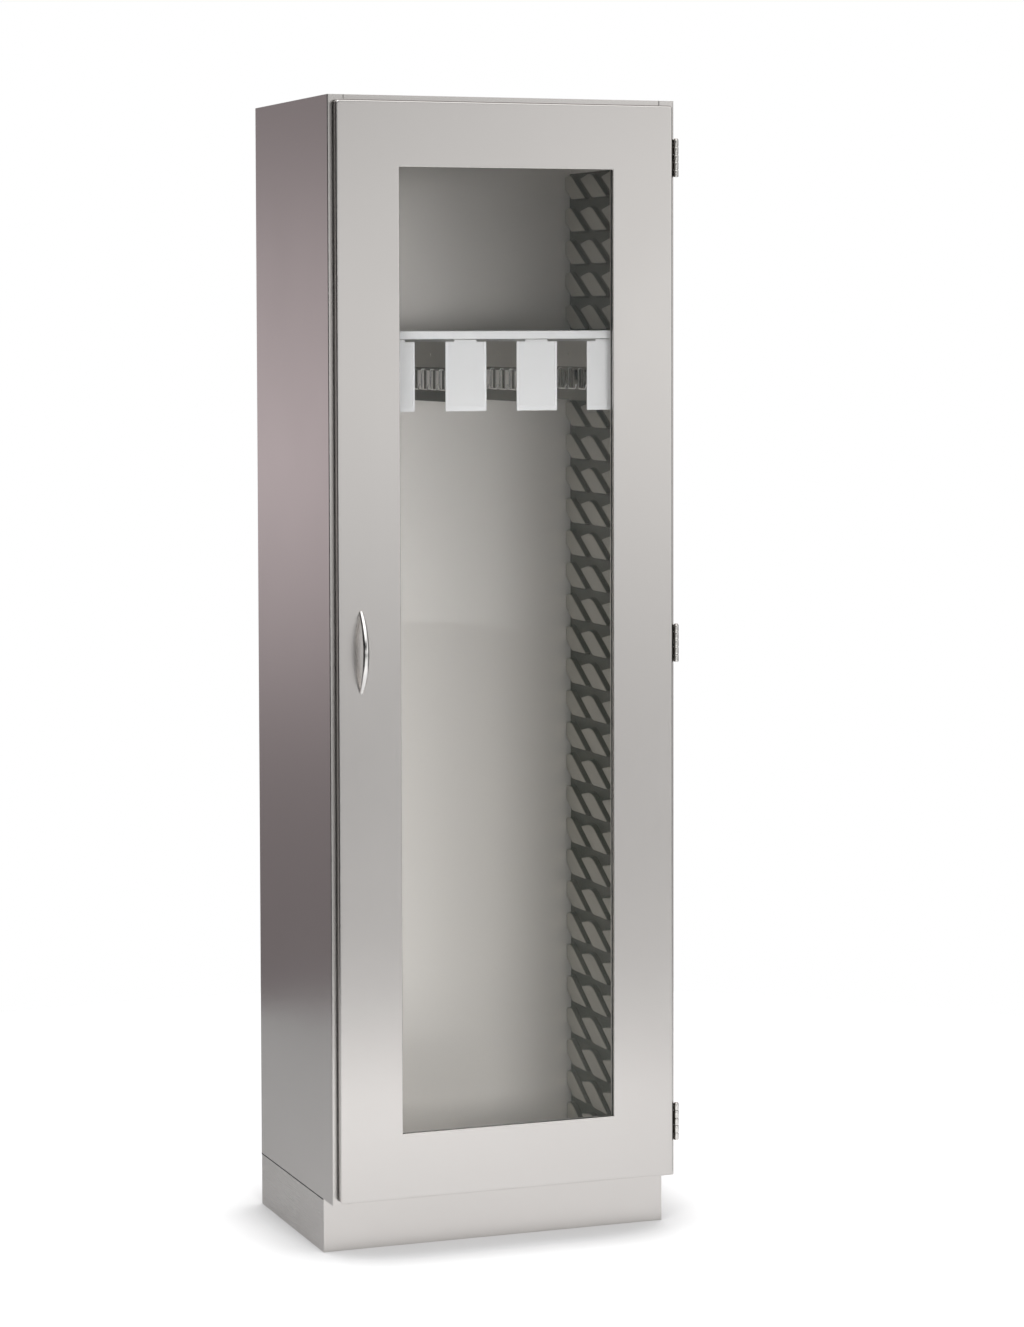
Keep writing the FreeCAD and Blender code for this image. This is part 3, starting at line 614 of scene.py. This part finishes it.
PAD_SHEET = 3.0
SHEET_FACE = liner_high[0] - PAD_SHEET
PAD_PROUD = SHEET_FACE - PAD_FACE
PAD_ROWS, PADS_IN_ROW = 30, 6
ROW_PITCH, PAD_PITCH = 64.0, 111.0
PAD_HEIGHT, PAD_CROWN, CROWN_AHEAD = 40.5, 11.0, 58.0
PAD_SLOPE = math.radians(31)
LINER_TOP_MARGIN, LINER_FRONT_MARGIN, LINER_BACK_MARGIN = 12.0, 2.4, 1.9
FIRST_PAD_BEHIND = 32.0
LEAST_PAD = 0.3

# Rounding of a pad's corners: radius and points at its low back, high back, crown and low front
PAD_RADII, PAD_ARC_POINTS = [20.0, 3.0, 55.0, 2.4], [8, 4, 14, 4]

# A pad from its flared foot to its flat face: how far its outline is moved in, and its height on the sheet
PAD_STEPS = (
    (-2.2, -0.6), (-2.2, 0.0), (-1.2, 0.35), (-0.5, 1.2), (0.0, 2.6),
    (0.9, 8.3), (1.25, 9.6), (1.9, 10.6), (2.9, PAD_PROUD),
)


def pad_outline(back, top):
    """Pad seen from the middle of the cabinet: it leans down to the front and its top rises to a crown.

    Both long sides fall at the same slope; the front one meets the rising top at the crown.
    """
    fall = math.tan(PAD_SLOPE)
    crown = np.array([back - CROWN_AHEAD, top + PAD_CROWN])
    corners = [
        np.array([back - PAD_HEIGHT / fall, top - PAD_HEIGHT]),
        np.array([back, top]),
        crown,
        np.array([crown[0] - (PAD_HEIGHT + PAD_CROWN) / fall, top - PAD_HEIGHT]),
    ]
    return corners, PAD_RADII, PAD_ARC_POINTS


def liner_pad(back, top, front_edge, back_edge):
    """Pad as rings, cut off at the liner's edges; none where too little of it is left."""
    corners, radii, counts = pad_outline(back, top)
    whole = area_of(corners)
    corners, radii, counts = clipped(corners, radii, counts, front_edge, True)
    if corners:
        corners, radii, counts = clipped(corners, radii, counts, back_edge, False)
    if area_of(corners) < LEAST_PAD * whole:
        return None
    rows = []
    for inset, height in PAD_STEPS:
        outline = rounded_outline(moved_in(corners, inset), [max(r - inset, 0.4) for r in radii], counts)
        rows.append(along_at(outline, SHEET_FACE - height))
    return rings(rows)


def moulded_liner():
    """Right liner: a sheet with rounded edges and its rows of pads."""
    front, back = liner_low[1], liner_high[1]
    bottom, top = liner_low[2], liner_high[2]
    rows = []
    for inset, behind in ((0.0, PAD_SHEET), (0.0, 0.8), (0.25, 0.2), (0.8, 0.0)):
        corners = inset_rectangle((front, bottom), (back, top), inset)
        rows.append(along_at(rounded_outline(corners, [1.5] * 4, [3] * 4), SHEET_FACE + behind))
    parts = [rings(rows)]
    for row in range(PAD_ROWS):
        pad_top = top - LINER_TOP_MARGIN - row * ROW_PITCH
        for k in range(PADS_IN_ROW):
            pad_back = back + FIRST_PAD_BEHIND - k * PAD_PITCH
            pad = liner_pad(pad_back, pad_top, front + LINER_FRONT_MARGIN, back - LINER_BACK_MARGIN)
            if pad:
                parts.append(pad)
    return parts


right_liner = moulded_liner()
left_liner = [mirrored(part) for part in right_liner]
make_piece("moulded_liner_right", right_liner, "cabinet", ["liner_right"], liner_plastic)
make_piece("moulded_liner_left", left_liner, "cabinet", ["liner_left"], liner_plastic)


# Door skin, gasket and seal: rings round the door from a profile of offset and depth

FRAME_WIDTH = 120.5
WINDOW_HALF = DOOR_HALF - FRAME_WIDTH
WINDOW_BOTTOM, WINDOW_TOP = DOOR_BOTTOM + FRAME_WIDTH, DOOR_TOP - FRAME_WIDTH
DOOR_CORNER, DOOR_SKIN, DOOR_EDGE, WINDOW_EDGE = 7.0, 1.2, 3.0, 1.4
LINING, FLANGE = 5.0, 16.5


def door_ring(inset, y, corner):
    """Outline of the door, moved in."""
    return upright_ring(DOOR_HALF - inset, DOOR_BOTTOM + inset, DOOR_TOP - inset, corner, y, 9)


def window_ring(grow, y, corner):
    """Outline of the window, moved out."""
    return upright_ring(WINDOW_HALF + grow, WINDOW_BOTTOM - grow, WINDOW_TOP + grow, corner, y, 9)


def door_skin():
    """Pan of the door: side wall, rounded front edge, flat front, window edge, lining and flange."""
    lining_back, beside_edge = DOOR_FRONT + LINING, 1.5
    rows = [door_ring(0, DOOR_BACK, DOOR_CORNER)]
    rows += [door_ring(i, DOOR_FRONT + d, DOOR_CORNER - i) for i, d in zip(*quarter(DOOR_EDGE))]
    rows.append(door_ring(DOOR_EDGE + beside_edge, DOOR_FRONT, 5.0))
    rows.append(window_ring(WINDOW_EDGE + beside_edge, DOOR_FRONT, 1.4))
    inset, depth = quarter(WINDOW_EDGE)
    rows += [window_ring(i, DOOR_FRONT + d, 0.8) for i, d in zip(inset[::-1], depth[::-1])]
    rows.append(window_ring(0, lining_back, 0.8))
    for grow, y in (
        (FLANGE, lining_back), (FLANGE, lining_back - DOOR_SKIN),
        (DOOR_SKIN, lining_back - DOOR_SKIN), (DOOR_SKIN, DOOR_FRONT + DOOR_SKIN),
    ):
        rows.append(window_ring(grow, y, 1.0))
    rows += [door_ring(DOOR_SKIN, y, DOOR_CORNER - DOOR_SKIN) for y in (DOOR_FRONT + DOOR_SKIN, DOOR_BACK)]
    return rings(rows, wrap_rows=True)


def soft_gasket():
    """Glazing rubber: rounded lips on both faces of the pane, round its edge."""
    front, back = (corner[1] for corner in place("glazing_gasket"))
    pane_front, pane_back = (corner[1] for corner in place("door_glass"))
    groove = 14.0

    # Steps past the window's edge, depths and corner radii
    profile = [
        (0.5, pane_front, 0.6), (0.62, front + 0.55, 0.6), (1.1, front + 0.12, 0.8), (1.9, front, 1.0),
        (FLANGE - 0.9, front, 1.5), (FLANGE, front + 0.6, 2.0), (FLANGE, back - 0.6, 2.0),
        (FLANGE - 0.9, back, 1.5), (1.9, back, 1.0), (1.1, back - 0.12, 0.8), (0.62, back - 0.55, 0.6),
        (0.5, pane_back, 0.6), (groove, pane_back, 1.0), (groove, pane_front, 1.0),
    ]
    return rings([window_ring(*step) for step in profile], wrap_rows=True)


def bulb_seal():
    """Seal round the back of the door: a flat foot and a half-round bulb."""
    low, high = place("door_seal")
    foot, foot_height, bulb, bulb_foot = 3.5, 0.9, 2.3, 1.2
    face, tip = low[1], high[1]
    half, bottom, top = high[0] - foot, low[2] + foot, high[2] - foot
    profile = [(-foot, face), (-foot, face + foot_height), (-bulb, face + bulb_foot)]
    for angle in np.linspace(math.pi, 0, 9):
        rise = (tip - face - bulb_foot) * math.sin(angle)
        profile.append((bulb * math.cos(angle), face + bulb_foot + rise))
    profile += [(bulb, face + bulb_foot), (foot, face + foot_height), (foot, face)]
    rows = [upright_ring(half + out, bottom - out, top + out, 4.0 + out * 0.5, y, 5) for out, y in profile]
    return rings(rows, wrap_rows=True)


make_piece("door_skin", [door_skin()], "door", ["door_outer_skin"], shaded_door_steel)
make_piece("glazing_rubber", [soft_gasket()], "door", ["glazing_gasket"], rubber, 60)
make_piece("bulb_seal", [bulb_seal()], "door", ["door_seal"], rubber, 60)


# Bow handle

def bow():
    """Oval sections along an arc that stands on the door, swelling to the middle, closer at the tips."""
    low, high = place("handle")
    half, rise = 73.0, 28.5
    end_width, end_thickness, width_swell, thickness_swell = 8.5, 8.0, 3.0, 1.0
    x, middle = (low[0] + high[0]) / 2, (low[2] + high[2]) / 2 - 2.0
    radius = (half * half + rise * rise) / (2 * rise)
    swing = math.asin(half / radius)
    tip = np.array([0.965, 0.985, 0.995, 1.0])
    share = np.concatenate([-tip[::-1], np.linspace(-0.93, 0.93, 41), tip])[:, None]
    angle = swing * share
    swell = np.cos(share * np.pi / 2)
    wide = (end_width + width_swell * swell) / 2
    thick = (end_thickness + thickness_swell * swell) / 2
    around = np.linspace(0, 2 * np.pi, 36, endpoint=False)[None]
    out = radius * (np.cos(angle) - math.cos(swing))
    lift = thick * np.sin(around)
    y = np.minimum(DOOR_FRONT - out - lift * np.cos(angle), DOOR_FRONT)
    z = middle + radius * np.sin(angle) + lift * np.sin(angle)
    return rings(np.stack(np.broadcast_arrays(x + wide * np.cos(around), y, z), axis=-1))


make_piece("bow_handle", [bow()], "door", ["handle"], steel_bow, 60)


# Hinges

HINGE_BOTTOMS = [169.0, 1080.5, 1992.0]
HINGE_HEIGHT, SHORT_KNUCKLE, KNUCKLE_GAP, KNUCKLE_EASE = 70.0, 13.4, 0.15, 1.5
LEAF_THICK, LEAF_WIDE, LEAF_TO_PIN, CASE_TO_BARREL = 1.8, 17.0, 6.2, 0.5
CASE_HALF = place("side_panel_right")[1][0]
ON_AXIS = 0.01


def knuckle(z0, z1):
    """Rolled knuckle with rounded ends."""
    inset, depth = quarter(KNUCKLE_EASE, 4)
    profile = [(ON_AXIS, z0)]
    profile += [(BARREL - i, z0 + d) for i, d in zip(inset[::-1], depth[::-1])]
    profile += [(BARREL - i, z1 - d) for i, d in zip(inset, depth)]
    profile.append((ON_AXIS, z1))
    return turned(profile, (HINGE_X, HINGE_Y, 0), 36)


def knuckle_spans(case_side):
    """Heights of the knuckles of one leaf above the hinge's lower end."""
    tall = (HINGE_HEIGHT - 3 * SHORT_KNUCKLE - 4 * KNUCKLE_GAP) / 2
    spans, z = [], 0.0
    for k in range(5):
        length = SHORT_KNUCKLE if k % 2 == 0 else tall
        if (k % 2 == 0) == case_side:
            spans.append((z, z + length))
        z += length + KNUCKLE_GAP
    return spans


def leaf_screw(x, y, z, out):
    """Countersunk screw: a low dome with a shallow round recess."""
    profile = [(3.3, 0.0), (3.1, 0.28), (2.0, 0.55), (1.1, 0.6), (0.9, 0.25), (0.02, 0.2)]
    return turned([(r, h * out) for r, h in profile], (x, y, z), 20, axis=1)


def hinge_parts(case_side):
    """Three leaves with their knuckles, the straps to them and three screws each."""
    if case_side:
        back = HINGE_Y + CASE_TO_BARREL + BARREL
        front, reach, out = back - LEAF_THICK, CASE_HALF, -1
    else:
        front, back, reach, out = DOOR_BACK, DOOR_BACK + LEAF_THICK, HINGE_X, 1
    screw_face = front if case_side else back
    edge, overlap = HINGE_X - LEAF_TO_PIN, 1.0
    screw_line, middle_shift, end_shift = edge - 8.5, -3.0, 1.5
    parts = []
    for z0 in HINGE_BOTTOMS:
        parts.append(block((edge - LEAF_WIDE, front, z0), (edge, back, z0 + HINGE_HEIGHT), 0.3))
        for low, high in knuckle_spans(case_side):
            parts.append(block((edge - overlap, front, z0 + low), (reach, back, z0 + high), 0.2))
            parts.append(knuckle(z0 + low, z0 + high))
        for share, shift in ((0.16, end_shift), (0.5, middle_shift), (0.84, end_shift)):
            parts.append(leaf_screw(screw_line + shift, screw_face, z0 + share * HINGE_HEIGHT, out))
    return parts


def pin_parts():
    """Pins with a domed head on top and a flush end below."""
    pin, head, rim, dome = 2.5, 4.2, 0.5, 1.9
    parts = []
    for z0 in HINGE_BOTTOMS:
        top = z0 + HINGE_HEIGHT
        profile = [(ON_AXIS, z0 - 0.05), (pin - 0.3, z0 - 0.05), (pin, z0 + 0.4), (pin, top)]
        profile += [(head, top), (head, top + rim)]
        profile += [(head * math.cos(a), top + rim + dome * math.sin(a)) for a in np.linspace(0.2, 1.5, 7)]
        profile.append((ON_AXIS, top + rim + dome))
        parts.append(turned(profile, (HINGE_X, HINGE_Y, 0), 36))
    return parts


case_leaves, door_leaves = hinge_parts(True), hinge_parts(False)
make_piece("case_hinge_leaves", case_leaves, "cabinet", ["hinge_case_leaves"], shaded_hinge_steel)
make_piece("door_hinge_leaves", door_leaves, "door", ["hinge_door_leaves"], shaded_hinge_steel)
make_piece("hinge_pins_domed", pin_parts(), "cabinet", ["hinge_pins"], steel_pin)


# Hangers, shelf and small parts

HOOKS, HOOK_PITCH, FIRST_HOOK, HOOK_WIRE = 7, 52.0, -125.5, 1.5
HOOK_DROP, HOOK_SEAT, LIP_REACH, LIP_RISE = 39.5, 34.0, 6.6, 9.3
HOOK_BENDS, LEG_IN_BAND = [2.6, 4.5, 3.0], 0.8


def hook_row(k):
    """Seven bent hooks of one hanger: a leg to the band, a stem, a level seat and a raised lip."""
    low, high = place("hanger_%d_hooks" % k)
    band = place("hanger_%d_hook_band" % k)[0][0]
    x, leg, seat = low[0] + HOOK_WIRE, high[2] - HOOK_WIRE, high[2] - HOOK_DROP
    parts = []
    for j in range(HOOKS):
        y = FIRST_HOOK + HOOK_PITCH * j
        seat_end = y - HOOK_SEAT
        corners = [
            (band + LEG_IN_BAND, y, leg), (x, y, leg), (x, y, seat), (x, seat_end, seat),
            (x, seat_end - LIP_REACH, seat + LIP_RISE),
        ]
        parts.append(wire(path_rounded(corners, HOOK_BENDS), HOOK_WIRE, 12))
    return parts


for k in range(1, 5):
    body = "hanger_%d" % k
    make_piece("bent_hooks_%d" % k, hook_row(k), body, [body + "_hooks"], steel_wire, 50)
    softened("label_plate_%d" % k, body + "_label_holder", body, white_paint, 0.45)
    softened("card_%d" % k, body + "_label_card", body, card, 0.12, 1)
    softened("runner_bar_%d" % k, body + "_runner", body, white_paint, 0.4)
    softened("side_plate_%d" % k, body + "_plate", body, plate_metal, 0.3)
    softened("hook_rail_%d" % k, body + "_hook_band", body, band_paint, 0.4)

softened("shelf_pan", "shelf", "cabinet", white_paint, 1.0, 3)
softened("catch_housings", "magnetic_catches", "cabinet", nylon, 0.8)
softened("retainer_frame", "glass_retainer", "door", steel_upright, 0.35)
softened("pad_clips", "shelf_clips", "cabinet", nylon, 0.5)


# Dark rubber strips under the side panels' feet, against the plinth: painted shade for the shaded seam

def seam_shade_strip():
    """Thin dark strip on the left side of the plinth, just under the side panel's foot: painted shade for
    the seam.
    """
    outside, _, foot = place("side_panel_left")[0]
    front, rear = (corner[1] for corner in place("plinth_left"))
    behind_panel, width, under_foot, into_foot = 0.15, 1.85, 2.6, 0.2
    front_margin, rear_margin, edge = 3.0, 0.5, 0.1
    low = (outside + behind_panel, front + front_margin, foot - under_foot)
    high = (outside + behind_panel + width, rear - rear_margin, foot + into_foot)
    return block(low, high, edge)


# Both strips are painted shade for the seam between case and plinth.
make_piece("foot_joint_left", [seam_shade_strip()], "cabinet", [], rubber, 60)
make_piece("foot_joint_right", [mirrored(seam_shade_strip())], "cabinet", [], rubber, 60)


# Camera, measured from the edges of the case in the photograph: pixels of its frame, metres and degrees

PHOTO_HEIGHT, FOCAL_PIXELS, CENTRE_ROW = 1327, 3595.9, 505
EYE = (-2.3113, -6.4377, 1.7166)
yaw, pitch, roll = (math.radians(angle) for angle in (-20.463, 2.873, -0.15))
level_right = Vector((math.cos(yaw), math.sin(yaw), 0))
level_ahead = Vector((-math.sin(yaw), math.cos(yaw), 0))
overhead = Vector((0, 0, 1))
look = math.cos(pitch) * level_ahead - math.sin(pitch) * overhead
tilted = math.sin(pitch) * level_ahead + math.cos(pitch) * overhead
side = math.cos(roll) * level_right + math.sin(roll) * tilted
up = -math.sin(roll) * level_right + math.cos(roll) * tilted
lens = bpy.data.cameras.new("camera")
lens.sensor_fit = "VERTICAL"
lens.sensor_height = 36
lens.lens = FOCAL_PIXELS / PHOTO_HEIGHT * lens.sensor_height
lens.shift_y = (CENTRE_ROW - PHOTO_HEIGHT / 2) / PHOTO_HEIGHT
camera = bpy.data.objects.new("camera", lens)
camera.matrix_world = Matrix([(side[i], up[i], -look[i], EYE[i]) for i in range(3)] + [(0, 0, 0, 1)])
scene.collection.objects.link(camera)
scene.camera = camera


# Floor: a pale round mat that keeps the shadow and ends unseen in the white background

FLOOR_RADIUS, FLOOR_DEPTH, FLOOR_POINTS = 2.4, 0.0002, 96
FLOOR_GLOW_SEEN, FLOOR_GLOW_FRONT, FLOOR_GLOW_FAR = 0.66, 0.43, 0.24
FRONT_STARTS, FAR_STARTS = (-0.13, -0.22), (-0.9, -1.7)
SHADOW_REACH = 0.19


def floor_disc():
    """Flat disc of rings round the cabinet."""
    angle = np.linspace(0, 2 * np.pi, FLOOR_POINTS, endpoint=False)
    reach = np.array([0.0005, 0.25, 0.5, 0.75, 1.0])[:, None] * FLOOR_RADIUS
    flat = reach * np.cos(angle), reach * np.sin(angle)
    points = np.stack([*flat, np.full_like(flat[0], -FLOOR_DEPTH)], axis=-1)
    faces = grid_faces(*flat[0].shape, False, True)[:, ::-1]
    mesh = bpy.data.meshes.new("floor")
    mesh.from_pydata(points.reshape(-1, 3).tolist(), [], faces.tolist())
    floor = bpy.data.objects.new("floor", mesh)
    scene.collection.objects.link(floor)
    return floor


def floor_finish():
    """Matt pale floor that glows where it is seen plainly or through glass, less so near the cabinet, where
    the fading glow is a painted contact shadow.

    Mirrored in the steel it glows in front of the door, and more beyond that.
    """
    material, tree, shader = new_finish("pale floor", (0.74, 0.74, 0.745), 0.0, 0.9)
    shader.inputs["Specular IOR Level"].default_value = 0.0
    in_mirror, seen = ray_kinds(tree)
    deep = own_axes(tree)[1]
    before_door = spread(tree, deep, *FRONT_STARTS, 0.0, FLOOR_GLOW_FRONT)
    further_out = spread(tree, deep, *FAR_STARTS, 0.0, FLOOR_GLOW_FAR)
    mirrored_glow = combined(tree, "MULTIPLY", in_mirror, combined(tree, "ADD", before_door, further_out))
    # Ambient occlusion lowers the glow near the cabinet: a painted contact shadow on the floor.
    near = tree.nodes.new("ShaderNodeAmbientOcclusion")
    near.inputs["Distance"].default_value = SHADOW_REACH
    near.samples = 8
    open_glow = spread(tree, near.outputs["AO"], 0.45, 1.0, 0.05, FLOOR_GLOW_SEEN)
    glow = combined(tree, "MULTIPLY_ADD", seen, open_glow, mirrored_glow)
    shader.inputs["Emission Color"].default_value = (1, 1, 1, 1)
    tree.links.new(glow, shader.inputs["Emission Strength"])
    return material


floor_disc().data.materials.append(floor_finish())


# Soft lamps: one on the left that lights the inside through the window, one in front for the plinth

def soft_lamp(name, at, target, size, power, spread_angle=180):
    """Rectangular lamp turned to a target, unseen in the steel."""
    light = bpy.data.lights.new(name, "AREA")
    light.shape = "RECTANGLE"
    light.size, light.size_y = size
    light.energy = power
    light.spread = math.radians(spread_angle)
    lamp = bpy.data.objects.new(name, light)
    lamp.location = at
    lamp.rotation_euler = (Vector(target) - Vector(at)).to_track_quat("-Z", "Z").to_euler()
    lamp.visible_glossy = False
    scene.collection.objects.link(lamp)


soft_lamp("left softbox", at=(-3.2, -3.2, 1.5), target=(0, 0, 0.8), size=(1.2, 2.0), power=50)
soft_lamp("front fill", (-0.1, -4.5, 1.15), (0, 0, 0.3), size=(2.2, 1.0), power=20, spread_angle=50)


# World: even soft light; metal and glass see a bright studio that falls off behind the left side

scene.world = bpy.data.worlds.new("studio")
scene.world.use_nodes = True
sky = scene.world.node_tree


def ramp(value, stops):
    """Grey ramp through stops of position and level."""
    node = sky.nodes.new("ShaderNodeValToRGB")
    bar = node.color_ramp
    bar.interpolation = "EASE"
    while len(bar.elements) < len(stops):
        bar.elements.new(0.5)
    for element, (position, level) in zip(bar.elements, stops):
        element.position = position
        element.color = (level, level, level, 1)
    sky.links.new(value, node.inputs[0])
    return node.outputs["Color"]


# Levels of the studio by height, from 17 degrees below the horizon to 44 above, and by side, left to right
FRONT_LEFT = [
    (0.0, 1.1), (0.084, 0.75), (0.114, 0.45), (0.162, 0.02), (0.204, 0.08), (0.24, 0.8), (0.276, 1.5),
    (0.312, 1.25), (0.342, 0.3), (0.40, 0.02), (0.55, 0.08), (0.70, 1.2), (1.0, 2.0),
]
FRONT_RIGHT = [
    (0.0, 1.2), (0.084, 1.2), (0.114, 1.35), (0.162, 0.45), (0.204, 0.64), (0.24, 1.15), (0.276, 1.5),
    (0.33, 1.5), (0.37, 1.35), (0.6, 1.2), (1.0, 1.8),
]
FRONT_SIDES = [
    (0.0, 0.08), (0.18, 0.10), (0.27, 0.9), (0.34, 1.5), (0.47, 1.3),
    (0.58, 1.0), (0.80, 1.0), (0.90, 0.4), (1.0, 0.12),
]
REAR = [
    (0.0, 0.4), (0.11, 0.2), (0.17, 0.22), (0.262, 0.75),
    (0.31, 0.56), (0.36, 0.26), (0.6, 0.42), (1.0, 0.6),
]
REAR_SIDES = [(0.0, 0.10), (0.17, 0.25), (0.27, 1.0), (0.80, 1.0), (0.92, 0.5), (1.0, 0.3)]
REAR_TINT = (1.0, 0.88, 0.91)
EVEN_LIGHT = [(0.0, 0.30), (0.3, 0.34), (0.55, 0.47), (0.8, 0.53), (1.0, 0.53)]
WHITE = (1.0, 1.0, 1.0)

direction = sky.nodes.new("ShaderNodeSeparateXYZ")
sky.links.new(sky.nodes.new("ShaderNodeTexCoord").outputs["Generated"], direction.inputs[0])
to_right, to_back, to_top = (direction.outputs[axis] for axis in "XYZ")
height = spread(sky, to_top, -0.3, 0.7)
across = spread(sky, to_right, -1.0, 1.0)
right_share = spread(sky, to_right, 0.15, 0.55, easing="SMOOTHSTEP")
front_share = spread(sky, to_back, 0.35, -0.35, easing="SMOOTHSTEP")
front = blend_colours(sky, right_share, ramp(height, FRONT_LEFT), ramp(height, FRONT_RIGHT))
front = blend_colours(sky, 1.0, front, ramp(across, FRONT_SIDES), "MULTIPLY")
rear = blend_colours(sky, 1.0, ramp(height, REAR), ramp(across, REAR_SIDES), "MULTIPLY")
rear = blend_colours(sky, 1.0, rear, REAR_TINT, "MULTIPLY")
studio = blend_colours(sky, front_share, rear, front)
in_mirror, seen = ray_kinds(sky)
lit = blend_colours(sky, in_mirror, ramp(height, EVEN_LIGHT), studio)
background = sky.nodes["Background"]
sky.links.new(blend_colours(sky, seen, lit, WHITE), background.inputs["Color"])
background.inputs["Strength"].default_value = 1.0
